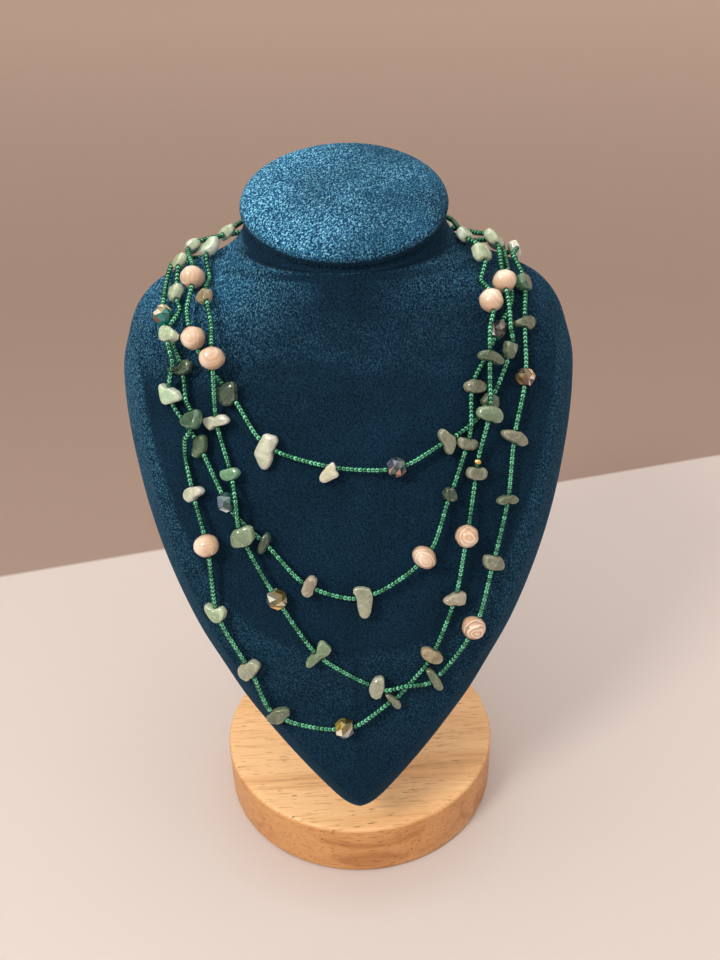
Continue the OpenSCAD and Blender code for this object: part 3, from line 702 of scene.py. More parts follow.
windingD = [
    (-51.5, 18.5, 192.0, "bend"),
    (-53.0, 14.5, 192.5, "bend"),
    (-54.0, 8.5, 188.5, "bend"),
    (-53.5, -2.5, 181.5, "crystal", 6.0, 5.6),
    (-51.5, -5.5, 176.0, "bend"),
    (-48.0, -12.5, 168.5, "chip", 9.0, 3.6, 3.6, 0.4, 0.5, "forest"),
    (-47.0, -16.5, 160.5, "bend"),
    (-45.0, -22.5, 156.5, "chip", 7.0, 5.0, 4.2, -0.1, 0.4, "leaf"),
    (-47.0, -24.0, 151.5, "bend"),
    (-48.0, -22.0, 144.5, "bend"),
    (-46.0, -27.0, 135.5, "chip", 7.4, 4.2, 4.4, -0.4, 0.3, "milk"),
    (-42.5, -34.0, 122.0, "pearl", 7.6, 6.9),
    (-40.5, -39.0, 101.0, "chip", 6.6, 4.6, 4.4, 0.8, 0.5, "celadon"),
    (-32.0, -44.5, 84.5, "chip", 8.0, 5.0, 4.6, -0.1, 0.4, "chalk"),
    (-24.0, -49.0, 70.5, "chip", 7.2, 5.0, 4.2, -0.2, 0.4, "olive"),
    (-4.0, -51.5, 67.0, "crystal", 6.0, 5.2),
    (11.0, -48.5, 75.0, "chip", 6.8, 2.4, 3.8, 0.1, 0.3, "taupe"),
    (15.0, -46.5, 78.0, "bend"),
    (22.5, -45.0, 88.5, "chip", 7.6, 4.2, 4.4, 0.0, 0.4, "tan"),
    (29.5, -40.0, 105.5, "chip", 7.2, 4.0, 4.2, 0.0, 0.3, "rose"),
    (33.0, -35.0, 123.5, "pearl", 7.0, 7.0),
    (36.0, -27.5, 139.5, "chip", 6.6, 4.0, 4.2, 0.1, 0.3, "taupe"),
    (36.5, -26.0, 143.0, "crimp", 2.4, 2.0),
    (39.5, -24.0, 157.0, "chip", 8.8, 4.4, 4.2, 0.2, 0.4, "sage"),
    (40.0, -20.0, 164.0, "bend"),
    (40.0, -17.0, 171.5, "chip", 8.6, 3.2, 4.0, 0.3, 1.0, "smoke"),
    (40.5, -12.0, 178.5, "bend"),
    (41.5, -6.0, 184.5, "pearl", 7.0, 7.2),
    (39.5, 2.0, 188.5, "bend"),
    (40.5, 8.0, 195.0, "chip", 7.4, 5.8, 4.4, -0.2, 0.3, "celadon"),
    (36.0, 16.0, 199.0, "chip", 5.6, 5.0, 4.2, 0.0, 0.3, "mint"),
    (33.6, 27.0, 201.5, "bend"),
    (27.0, 37.5, 203.5, "chip", 5.2, 4.6, 5.0, 0.0, 0.3, "mint"),
    (14.0, 45.5, 203.5, "chip", 5.0, 4.6, 5.0, 0.0, 0.3, "milk"),
    (0.0, 48.5, 203.0, "bend"),
    (-15.0, 45.0, 201.0, "bend"),
    (-28.0, 37.0, 199.0, "chip", 5.0, 4.4, 5.0, 0.0, 0.3, "jade"),
]
windings = {"A": windingA, "B": windingB, "C": windingC, "D": windingD}
letters = "ABCD"

# Outlines of the chips on the chest, by winding and row: corners round the hole's middle in
# millimetres as seen from the front, to the right and up
chipOutlines = {
    "A5": [(-3.7, 1.8), (-2.7, 3.2), (1.7, 3.2), (2.2, 1.6), (2, -2.4), (0.4, -3.6), (-1.8, -3.5),
        (-3, -2)],
    "A6": [(-1.4, 2.8), (-0.1, 3.3), (2.7, 2.4), (3.2, 1), (2, -1.4), (1.9, -2.8), (0, -7), (-2.1, -7),
        (-4, -2.2), (-2.9, 0)],
    "A7": [(0.2, 1.3), (0.9, 1.2), (1.6, -0.5), (2.4, -2), (1.9, -2.9), (-1.9, -4.6), (-3.1, -4.3),
        (-3.6, -3.3), (-3.1, -1.9), (-1.5, 0.1)],
    "A9": [(-3, 2.1), (-2.3, 3.2), (-1.2, 3.4), (-0.3, 2.5), (2, 0.9), (2.3, -0.8), (1.1, -3.8),
        (0.3, -4.2), (-0.8, -3.6), (-1.2, -1.8), (-2.3, -0.2), (-2.9, 0.9)],
    "A12": [(-1.4, 2.5), (0.2, 3.2), (1.8, 2.3), (1.5, 0.5), (0.2, -2), (-0.9, -2.2), (-1.8, -0.2)],
    "B3": [(-2.5, 1.9), (-1.4, 2.8), (0.2, 2.3), (2, 0.9), (2.9, -0.2), (2.5, -1.8), (0.9, -2.2),
        (-0.5, -2.5), (-2.3, -1.8), (-2.7, -0.6)],
    "B5": [(-3.2, 3.4), (-2.5, 3.7), (0.6, 2), (2.6, 0.7), (3.5, -1.3), (2.6, -1.9), (0.8, -2.1),
        (-0.9, -2.6), (-2.5, -2), (-3, -0.8), (-3.3, 1.4)],
    "B7": [(-0.7, 2.8), (0.2, 3.3), (1.8, 3.2), (2.3, 1.9), (2.2, -0.2), (1.6, -2), (0.2, -3.3),
        (-1, -3.3), (-2.1, -2.6), (-1.8, -0.6), (-1.2, 1.6)],
    "B10": [(0.6, 3.2), (1.8, 2.5), (1.8, 0.5), (0.2, -2.6), (-1.2, -3.5), (-1.9, -2.4), (-1.6, -0.2),
        (-0.5, 2)],
    "B11": [(-1.2, 1.4), (0.2, 3), (1.6, 3), (2.6, 1.8), (2.4, 0.5), (1.9, -0.4), (1.9, -1.5),
        (1.1, -2.6), (-0.3, -3.4), (-1.8, -2.7), (-2.3, -1.3), (-1.6, 0.2)],
    "B12": [(-3.3, 2.3), (-2.3, 2.9), (-0.3, 2.9), (1.7, 2.3), (2.5, 0.5), (2.4, -1.6), (1.7, -5.2),
        (0.9, -6.6), (-1.1, -6.6), (-1.7, -5.2), (-2.3, -2), (-2.6, -0.2), (-3.2, 0.9)],
    "B14": [(-1.6, 1.9), (0.6, 2.1), (1.5, 0.2), (1.8, -0.9), (1.3, -2), (-0.5, -2.4), (-1.9, -1.3),
        (-2.3, 0.2)],
    "B15": [(-2.6, 1.6), (-2.1, 2.1), (0.2, 1.9), (2.5, 1.4), (3.2, 0.7), (3, -0.8), (1.6, -1.6),
        (-0.5, -1.5), (-2.3, -0.9), (-2.7, 0.5)],
    "B17": [(-2.6, 0), (-2.1, 1.2), (-0.5, 2), (1.6, 2), (3.4, 1), (4, -0.2), (3.4, -1.5), (1.6, -2),
        (-0.9, -2), (-2.1, -1.3)],
    "C6": [(-4.2, 0.9), (-3.7, 1.2), (-1.2, 1.6), (-0.2, 1.3), (1.1, 1.9), (2.5, 1.8), (4, 0.3),
        (3.8, -0.6), (2.5, -1.1), (0.9, -1.3), (0, -1.5), (-1.4, -2.4), (-2.1, -2.4), (-3.4, -0.8)],
    "C7": [(-3.1, 0.3), (-2.8, 1.2), (-1.2, 1.6), (0.2, 1.9), (1.6, 1.9), (2.6, 1), (2.6, -0.2),
        (1.3, -1.5), (-0.5, -2), (-1.9, -1.8), (-2.8, -0.9)],
    "C9": [(-3.4, 0.5), (-2.5, 2.1), (-0.5, 3), (1.5, 3.4), (2.9, 2.8), (3.4, 1.2), (3.4, -0.8),
        (2, -2.5), (0.2, -2.9), (-2.5, -3.1), (-3.3, -2.5), (-3.4, -0.9)],
    "C11": [(-0.1, 4.1), (1, 4.8), (2.1, 4.2), (3.9, 2.4), (3.9, 1.1), (2.3, 0.2), (1, -0.8),
        (-0.3, -1.7), (-2.3, -3.5), (-3.6, -3.7), (-4.1, -3), (-3.6, -1.1), (-2.1, 0.4), (-0.6, 1.1)],
    "C12": [(-2.4, -0.2), (-2, 1.3), (-0.5, 3.2), (1.3, 3.6), (2.3, 3), (2.4, 0.9), (2.1, -1.3),
        (1, -3.2), (-0.5, -3.6), (-1.8, -2.7), (-2.3, -1.3)],
    "C14": [(-3, 3), (-2.4, 3.5), (-1.1, 3.3), (0.2, 2), (1.5, -0.2), (2.5, -2.5), (2.4, -3.4),
        (1.3, -3.7), (-0.1, -3), (-1.3, -1), (-2.2, 1.1)],
    "C16": [(-2.9, 2), (-2.2, 2.5), (0.2, 2.4), (2.2, 1.8), (3.2, -0.2), (3.2, -1.7), (2.2, -2.3),
        (-0.5, -2.1), (-2.3, -1.5), (-3, -0.2)],
    "C17": [(-3.6, -0.6), (-2.9, 0.3), (-1.2, 0.9), (1.3, 1.2), (2.9, 0.3), (3.2, -0.8), (2.2, -1.5),
        (-0.1, -1.7), (-2.1, -1.8), (-3.2, -1.5)],
    "C18": [(-4.1, 1.8), (-3.4, 2.1), (-1.2, 2.2), (0.6, 2.2), (2, 1.4), (3.5, 0.1), (4.2, -1.3),
        (3.8, -2.2), (2, -2.7), (0.2, -1.8), (-2.3, -0.7), (-3.8, 0.5)],
    "C20": [(-3.8, -0.4), (-2.3, 0.3), (0.2, 1.6), (2, 1.9), (3.4, 1.2), (3.3, -0.6), (2.2, -2.2),
        (0.9, -2.3), (-1.2, -1.7), (-3.4, -1.5)],
    "D5": [(-4.6, 0.8), (-3.5, 1.2), (-1, 1), (0.2, 1.9), (1.5, 2.6), (2.9, 2.3), (3.5, 0.9),
        (2.6, -0.8), (0.8, -2), (-0.7, -1.7), (-2.5, -0.9), (-4.3, -0.5)],
    "D7": [(-3, 0.1), (-1.2, 2.1), (0.6, 3), (2.5, 3.2), (3.2, 2.3), (3.1, 0.8), (2.5, -1.3),
        (1.3, -2.5), (-0.5, -2.2), (-2.3, -1.5), (-3, -0.6)],
    "D10": [(-2.9, -0.2), (-2.1, 1.2), (-1, 2.1), (0.2, 2), (2, 2.2), (3.3, 1.4), (3.5, 0.5),
        (2.6, -0.4), (1.8, -0.8), (1, -1.2), (0.2, -2.6), (-1.2, -2.5), (-2.5, -1.5)],
    "D12": [(-4.1, 2.7), (-3.2, 3.8), (-1.9, 4), (-0.8, 2.9), (1.6, 2.4), (2.5, 0.9), (2, -1),
        (0.5, -2.3), (-1, -2.1), (-2.4, -0.8), (-3.7, 1.2)],
    "D13": [(-3.5, 0.5), (-2.2, 2.2), (-0.9, 2.1), (-0.1, 3), (1.7, 3.2), (3.3, 2), (3.3, 0.7),
        (2.3, -0.8), (0.8, -2.7), (-0.9, -3.6), (-2.6, -2.7), (-3.6, -1)],
    "D14": [(-3.6, -0.6), (-2.8, 0.9), (-0.5, 2.2), (2.1, 2.6), (3.6, 1.9), (3.6, 0.1), (2.1, -1.8),
        (-0.1, -2.6), (-2.4, -2.3), (-3.6, -1.5)],
    "D16": [(-2.8, 2), (-2.2, 2.4), (-0.5, 1.5), (1.3, 0.1), (2.3, -1.3), (2, -2.7), (1, -2.9),
        (-0.5, -1.7), (-1.7, 0.1)],
    "D18": [(-3.3, 1.6), (-2.6, 2.6), (-0.9, 2.6), (1.3, 1.8), (3, 0.5), (3.6, -1.1), (2.6, -2.3),
        (0.6, -2.4), (-1.6, -1.3), (-3.1, 0.1)],
    "D19": [(-3.6, -0.6), (-2.5, 0.5), (-0.5, 1.4), (2, 2), (3.2, 1.6), (3.3, 0.1), (2.9, -1.9),
        (0.2, -2.3), (-2.2, -1.9), (-3.3, -1.3)],
    "D21": [(-2.7, 1.2), (-2.1, 2.2), (-0.1, 2.5), (2.4, 2.1), (3.3, 0.9), (3, -0.8), (1.6, -1.6),
        (-0.9, -1.5), (-2.5, -0.7), (-2.8, 0.3)],
    "D23": [(-3.8, 0.1), (-3, 1.6), (-1.2, 2.1), (1.6, 2.2), (3.4, 1.2), (4.1, -0.2), (3.9, -1.8),
        (2.7, -2.7), (0.8, -2.5), (-1.6, -1.8), (-3.3, -0.9)],
    "D25": [(-3.6, 0.1), (-3, 1.2), (-1.2, 1.7), (0.9, 1.6), (2.7, 0.4), (4.1, -0.8), (4.1, -2.2),
        (2.7, -2.6), (0.6, -1.5), (-1.9, -1.2), (-3.3, -0.8)],
}
string = {
    "seed": 1.62,         # diameter of the seed beads
    "hole": 0.75,
    "pitch": 1.2,
    "beadSides": 9,
    "tilt": 0.14,         # how far a seed bead leans at most, in radians
    "uneven": 0.06,       # how much thinner it is at most, as a share
    "thread": 0.8,
    "threadSides": 6,
    "threadDark": (0.015, 0.11, 0.06, 1),
    "threadPale": (0.05, 0.25, 0.15, 1),
    "gap": 0.15,          # between a large bead and the seed beads
    "stiffness": 0.55,
}


def stations(kind, which=letters):
    # the places that hold one kind of bead: winding, number and row
    return [
        (letter, i, row)
        for letter in which
        for i, row in enumerate(windings[letter])
        if row[3] == kind
    ]


def spot(row):
    return Vector(row[:3])


def outward(p, t):
    # away from the middle of the bust, square to the string
    core = Vector((0.45 * p.x, 20 - 0.35 * (150 - min(p.z, 190)), p.z - 14))
    n = (p - core).normalized()
    return (n - n.dot(t) * t).normalized()


def stationFrame(letter, i):
    # place, sideways, outwards, along
    rows = windings[letter]
    k = letters.index(letter)
    before = rows[i - 1] if i > 0 else windings[letters[k - 1]][-1]
    after = rows[i + 1] if i < len(rows) - 1 else windings[letters[(k + 1) % len(letters)]][0]
    t = (spot(after) - spot(before)).normalized()
    p = spot(rows[i])
    n = outward(p, t)
    return p, t.cross(n), n, t


def halfLength(row):
    # of a large bead with the gap beside it, and nothing at a bend
    return 0 if row[3] == "bend" else row[5] / 2 + string["gap"]


def stretches(letter):
    # lists of places and directions between one large bead and the next
    following = letters[(letters.index(letter) + 1) % len(letters)]
    places = [(letter, i) for i in range(len(windings[letter]))] + [(following, 0)]
    runs = []
    run = []
    for winding, i in places:
        p, side, n, t = stationFrame(winding, i)
        reach = halfLength(windings[winding][i])
        if reach and run:
            runs.append(run + [(p - reach * t, t)])
            run = []
        run.append((p + reach * t, t))
    if len(run) > 1:
        runs.append(run)
    return runs


def curveThrough(run, steps=8):
    # a smooth curve through the places, in their directions
    points = [run[0][0]]
    for (p, s), (q, t) in zip(run, run[1:]):
        pull = (q - p).length * string["stiffness"]
        for k in range(1, steps + 1):
            f = k / steps
            points.append(
                (2 * f ** 3 - 3 * f ** 2 + 1) * p
                + (f ** 3 - 2 * f ** 2 + f) * pull * s
                + (3 * f ** 2 - 2 * f ** 3) * q
                + (f ** 3 - f ** 2) * pull * t
            )
    return points


def routeCurve(name, lines):
    data = bpy.data.curves.new(name, "CURVE")
    data.dimensions = "3D"
    for line in lines:
        spline = data.splines.new("POLY")
        spline.points.add(len(line) - 1)
        for point, place in zip(spline.points, line):
            point.co = (*(place * mm), 1)
    return addObject(name, data)


def makeSeedBead(glass, lining):
    # a short glass ring with rounded ends and a lined hole: place along the hole, radius
    r = string["seed"] / 2
    h = string["hole"] / 2
    length = string["pitch"] * 0.485
    profile = [
        (-length * 0.72, r), (length * 0.72, r), (length, 0.80 * r), (length, h),
        (-length, h), (-length, 0.80 * r),
    ]
    sides = string["beadSides"]
    vertices = [
        Vector((reach * math.cos(turn), reach * math.sin(turn), z)) * mm
        for z, reach in profile for turn in around(sides)
    ]
    mesh = bpy.data.meshes.new("seedBead")
    mesh.from_pydata(vertices, [], ringFaces(len(profile), sides, closed=True))
    mesh.shade_smooth()
    mesh.materials.append(glass)
    mesh.materials.append(lining)
    inner = mesh.attributes.new("lining", "BOOLEAN", "FACE")
    for face in mesh.polygons:
        inner.data[face.index].value = face.index // sides == 3     # the strip inside the hole
    # the widest rings carry the painted glint, and the ends, without it, get painted shade
    flank = mesh.attributes.new("flank", "FLOAT", "POINT")
    for vertex in mesh.vertices:
        flank.data[vertex.index].value = vertex.index // sides < 2  # the widest two rings
    return addObject("seedBead", mesh)


def stringTree():
    # seed beads threaded on every spline of a route, turned and sized a little at random
    tree = bpy.data.node_groups.new("beadsOnString", "GeometryNodeTree")

    def socket(name, kind, value=None, way="INPUT"):
        item = tree.interface.new_socket(name, in_out=way, socket_type=kind)
        if value is not None:
            item.default_value = value
        return item.identifier

    def chance(kind, low, high):
        sockets = {"FLOAT": (2, 3, 1), "FLOAT_VECTOR": (0, 1, 0)}[kind]
        inputs = {sockets[0]: low, sockets[1]: high, "Seed": given["Seed"]}
        return addNode(tree, "FunctionNodeRandomValue", inputs, data_type=kind).outputs[sockets[2]]

    def triple(x, y, z):
        return addNode(tree, "ShaderNodeCombineXYZ", {0: x, 1: y, 2: z}).outputs[0]

    ids = {
        "route": socket("Geometry", "NodeSocketGeometry"),
        "bead": socket("Bead", "NodeSocketObject"),
        "pitch": socket("Pitch", "NodeSocketFloat", string["pitch"] * mm),
        "tilt": socket("Tilt", "NodeSocketFloat", string["tilt"]),
        "uneven": socket("Unevenness", "NodeSocketFloat", string["uneven"]),
        "seed": socket("Seed", "NodeSocketInt", 1),
        "glass": socket("Glass", "NodeSocketMaterial"),
        "lining": socket("Lining", "NodeSocketMaterial"),
    }
    socket("Geometry", "NodeSocketGeometry", way="OUTPUT")
    given = tree.nodes.new("NodeGroupInput").outputs
    result = tree.nodes.new("NodeGroupOutput")
    length = tree.nodes.new("GeometryNodeSplineLength").outputs["Length"]
    half = calculate(tree, "MULTIPLY", given["Pitch"], 0.5)
    end = calculate(tree, "SUBTRACT", length, half)
    trim = addNode(tree, "GeometryNodeTrimCurve", {"Curve": given["Geometry"]}, mode="LENGTH")
    for name, value in (("Start", half), ("End", end)):
        inUse = [item for item in trim.inputs if item.name == name and item.enabled]
        tree.links.new(value, inUse[-1])
    rest = tree.nodes.new("GeometryNodeSplineLength").outputs["Length"]
    whole = calculate(tree, "ROUND", calculate(tree, "DIVIDE", rest, given["Pitch"]))
    spread = addNode(tree, "GeometryNodeResampleCurve", {
        "Curve": trim.outputs[0],
        "Count": calculate(tree, "ADD", whole, 1.0),
    }, mode="COUNT")
    tangent = tree.nodes.new("GeometryNodeInputTangent").outputs[0]
    aim = addNode(tree, "FunctionNodeAlignRotationToVector", {"Vector": tangent}, axis="Z")
    lean = calculate(tree, "MULTIPLY", given["Tilt"], -1.0)
    least = triple(lean, lean, 0.0)
    most = triple(given["Tilt"], given["Tilt"], 6.28)
    roll = addNode(tree, "FunctionNodeEulerToRotation", {0: chance("FLOAT_VECTOR", least, most)})
    turned = addNode(tree, "FunctionNodeRotateRotation", {
        0: aim.outputs[0],
        1: roll.outputs[0],
    }, rotation_space="LOCAL")
    size = chance("FLOAT", calculate(tree, "SUBTRACT", 1.0, given["Unevenness"]), 1.0)
    bead = addNode(tree, "GeometryNodeObjectInfo", {"Object": given["Bead"], "As Instance": True})
    strung = addNode(tree, "GeometryNodeInstanceOnPoints", {
        "Points": spread.outputs[0],
        "Instance": bead.outputs["Geometry"],
        "Rotation": turned.outputs[0],
        "Scale": triple(size, size, 1.0),
    })
    kept = addNode(tree, "GeometryNodeStoreNamedAttribute", {
        "Geometry": strung.outputs[0],
        "Name": "beadShade",
        "Value": chance("FLOAT", 0.0, 1.0),
    }, data_type="FLOAT", domain="INSTANCE")
    real = addNode(tree, "GeometryNodeRealizeInstances", {0: kept.outputs[0]})
    dress = addNode(tree, "GeometryNodeSetMaterial", {
        "Geometry": real.outputs[0],
        "Material": given["Glass"],
    })
    inner = addNode(tree, "GeometryNodeInputNamedAttribute", {"Name": "lining"}, data_type="BOOLEAN")
    line = addNode(tree, "GeometryNodeSetMaterial", {
        "Geometry": dress.outputs[0],
        "Selection": inner.outputs[0],
        "Material": given["Lining"],
    })
    tree.links.new(line.outputs[0], result.inputs[0])
    return tree, ids


# Silver-lined emerald glass: painted shade darkens a bead's ends, and a painted glint lies on either side of
# its middle
seedGlass = {
    "dark": (0.001, 0.040, 0.016, 1),
    "mid": (0.003, 0.175, 0.075, 1),
    "paintedGlint": (0.27, 0.76, 0.53, 1),
    "lining": (0.90, 0.95, 0.92, 1),
}


def makeSeedGlass():
    material, tree, shader = newMaterial("seedGlass", {
        "Roughness": 0.28,
        "IOR": 1.5,
        "Specular IOR Level": 0.2,
        "Coat Weight": 0.25,
        "Coat Roughness": 0.04,
    })
    shade = readAttribute(tree, "beadShade")
    flank = readAttribute(tree, "flank")
    # painted shade: a bead darkens towards its ends, on top of its own random tone
    depth = calculate(tree, "MULTIPLY", remap(tree, shade, 0, 1, 0.4, 1), remap(tree, flank, 0.2, 0.8))
    glass = blendColours(tree, depth, seedGlass["dark"], seedGlass["mid"])
    facing = addNode(tree, "ShaderNodeLayerWeight", {"Blend": 0.5}).outputs["Facing"]
    inner = remap(tree, facing, 0.05, 0.12)
    outer = remap(tree, facing, 0.19, 0.28, 1, 0)
    # painted glint: a pale band on either flank, where the surface turns partly away
    sides = calculate(tree, "MULTIPLY", calculate(tree, "MULTIPLY", inner, outer), flank)
    paintedGlint = calculate(tree, "MULTIPLY", sides, remap(tree, shade, 0, 0.8, 0.25, 1))
    colour = blendColours(tree, paintedGlint, glass, seedGlass["paintedGlint"])
    tree.links.new(colour, shader.inputs["Base Color"])
    tree.links.new(remap(tree, paintedGlint, 0, 1, 0.75, 0), shader.inputs["Metallic"])
    return material


def makeLining():
    material, tree, shader = newMaterial("silverLining", {
        "Base Color": seedGlass["lining"],
        "Metallic": 1.0,
    })
    wear = noiseField(tree, patternSpace(tree), 1400, 1)
    tree.links.new(remap(tree, wear, 0.3, 0.7, 0.12, 0.45), shader.inputs["Roughness"])
    return material


def meshFrom(host, name):
    # the evaluated result as a plain mesh piece, and the host goes
    bpy.context.view_layer.update()
    depsgraph = bpy.context.evaluated_depsgraph_get()
    mesh = bpy.data.meshes.new_from_object(host.evaluated_get(depsgraph), depsgraph=depsgraph)
    mesh.name = name
    bpy.data.objects.remove(host)
    return addObject(name, mesh)


def makeStrings():
    glass = makeSeedGlass()
    lining = makeLining()
    bead = makeSeedBead(glass, lining)
    tree, ids = stringTree()
    for number, letter in enumerate(letters):
        host = routeCurve("route" + letter, [curveThrough(run) for run in stretches(letter)])
        made = host.modifiers.new("beads", "NODES")
        made.node_group = tree
        made[ids["bead"]] = bead
        made[ids["pitch"]] = string["pitch"] * mm
        made[ids["seed"]] = 11 + number     # another chance order for each winding
        made[ids["glass"]] = glass
        made[ids["lining"]] = lining
        piece = meshFrom(host, "seedString" + letter)
        dressed(piece)
        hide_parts("seed_string_" + letter.lower())
        print("seed string", letter, "faces:", len(piece.data.polygons))
    bpy.data.objects.remove(bead)


makeStrings()


def makeThread():
    # the thread inside all the beads, a closed loop
    material, tree, shader = newMaterial("thread", {"Roughness": 0.7})
    fibre = noiseField(tree, patternSpace(tree), 3000, 1)
    colour = blendColours(tree, fibre, string["threadDark"], string["threadPale"])
    tree.links.new(colour, shader.inputs["Base Color"])
    run = []
    for letter in letters:
        for i, row in enumerate(windings[letter]):
            p, side, n, t = stationFrame(letter, i)
            reach = halfLength(row)
            run += [(p - reach * t, t), (p + reach * t, t)] if reach else [(p, t)]
    run.append(run[0])
    points = curveThrough(run, 6)[:-1]
    sides = string["threadSides"]
    radius = string["thread"] / 2
    vertices = []
    for i, p in enumerate(points):
        t = (points[(i + 1) % len(points)] - points[i - 1]).normalized()
        n = outward(p, t)
        for turn in around(sides):
            vertices.append(p + radius * (math.cos(turn) * t.cross(n) + math.sin(turn) * n))
    return newPiece("thread", vertices, ringFaces(len(points), sides, closed=True), material)


makeThread()

# Stone looks: main colour and the paler colour of its clouds
stoneLooks = {
    "forest": ((0.026, 0.064, 0.036), (0.045, 0.100, 0.060)),
    "leaf": ((0.026, 0.110, 0.054), (0.050, 0.170, 0.090)),
    "moss": ((0.052, 0.120, 0.060), (0.090, 0.180, 0.100)),
    "jade": ((0.110, 0.270, 0.150), (0.180, 0.400, 0.240)),
    "sage": ((0.150, 0.240, 0.140), (0.250, 0.360, 0.230)),
    "celadon": ((0.340, 0.460, 0.300), (0.520, 0.660, 0.470)),
    "mint": ((0.400, 0.600, 0.420), (0.580, 0.780, 0.580)),
    "milk": ((0.480, 0.540, 0.430), (0.680, 0.730, 0.600)),
    "chalk": ((0.270, 0.300, 0.220), (0.400, 0.440, 0.330)),
    "cream": ((0.630, 0.650, 0.480), (0.800, 0.800, 0.680)),
    "tan": ((0.240, 0.200, 0.110), (0.380, 0.320, 0.200)),
    "rose": ((0.280, 0.250, 0.185), (0.420, 0.390, 0.310)),
    "taupe": ((0.165, 0.190, 0.125), (0.270, 0.290, 0.210)),
    "smoke": ((0.058, 0.100, 0.052), (0.110, 0.160, 0.095)),
    "olive": ((0.090, 0.130, 0.070), (0.160, 0.210, 0.125)),
}
chip = {
    "hole": 0.55,
    "sides": 36,
    "rings": 25,
    "facets": 4,          # flattened places on each face of a tumbled chip
    "sharpness": 22.0,
    "fullness": 0.72,     # below 1 the faces are flatter and the edge rounder
    "corners": 7,         # of a chip without a drawn outline
    "spokes": 72,         # directions in which an outline is measured
    "paintedEdgeGlow": 0.5,       # how much painted light brightens the thin edge, as if it shone through
    "clouds": 260,        # along a metre
    "cracks": 420,
    "crackTone": (0.85, 0.88, 0.80, 1),
}


def seenFromFront(v):
    # to the right and up in a front view that looks 27 degrees down, by its sine and cosine
    return v.x, 0.454 * v.y + 0.891 * v.z


def outlineReach(corners, angle):
    # distance from the middle to the outline in a direction
    reach = 0
    ray = Vector((math.cos(angle), math.sin(angle)))
    for a, b in zip(corners, corners[1:] + corners[:1]):
        edge = b - a
        turn = ray.x * edge.y - ray.y * edge.x
        if abs(turn) > 1e-9:
            away = (a.x * edge.y - a.y * edge.x) / turn
            share = (a.x * ray.y - a.y * ray.x) / turn
            if away > 0 and 0 <= share <= 1:
                reach = max(reach, away)
    return reach


def chipCorners(letter, i, draw):
    # outline sideways and along the string: drawn from the front view, or an uneven oval
    across, along, thick, shift, slant = windings[letter][i][4:9]
    p, side, n, t = stationFrame(letter, i)
    drawn = chipOutlines.get(letter + str(i))
    if drawn:
        a, b = seenFromFront(side)
        c, d = seenFromFront(t)
        size = a * d - b * c
        return [Vector(((x * d - y * c) / size, (a * y - b * x) / size)) for x, y in drawn]
    corners = []
    for k in range(chip["corners"]):
        turn = 2 * math.pi * (k + draw.uniform(-0.28, 0.28)) / chip["corners"]
        reach = draw.uniform(0.98, 1.2)
        corners.append(Vector((
            shift + across / 2 * reach * math.cos(turn) + slant * math.sin(turn) / 2,
            along / 2 * reach * math.sin(turn),
        )))
    return corners


def chipRadii(corners, along):
    # the outline's reach on each spoke, with soft corners and a flat place at the hole's ends
    spokes = chip["spokes"]
    step = 360 / spokes
    sharp = [outlineReach(corners, math.radians(step * k)) for k in range(spokes)]
    soft = [sum(sharp[(k + j) % spokes] for j in (-1, 0, 1)) / 3 for k in range(spokes)]
    for k in range(spokes):
        off = abs((step * k) % 180 - 90)     # degrees from the hole's line
        hold = between((35 - off) / 20, 0, 1)
        soft[k] += hold * (min(soft[k], along / 2) - soft[k])
    return soft


def ballPoint(lean, turn):
    return Vector((math.cos(lean) * math.cos(turn), math.cos(lean) * math.sin(turn), math.sin(lean)))


def tumbled(q, planes):
    # a place on a unit ball, flattened softly where the planes cut it
    for n, d in planes:
        over = q.dot(n) - d
        push = math.log1p(math.exp(chip["sharpness"] * 2 * over)) / (chip["sharpness"] * 2)
        q = q - 0.9 * push * n
    return q


def chipPlanes(draw):
    # flattened places, on one face and the other by turns
    planes = []
    for k in range(2 * chip["facets"]):
        turn = 2 * math.pi * draw.random()
        tip = draw.uniform(0.25, 0.75)
        face = 1 if k % 2 else -1
        planes.append((
            Vector((math.sin(tip) * math.cos(turn), face * math.cos(tip), math.sin(tip) * math.sin(turn))),
            draw.uniform(0.62, 0.86),
        ))
    return planes


def paler(tone):
    # a stone's tone in its thin edge, brightened by painted light
    return min(0.78, 1.25 * tone + 0.04)


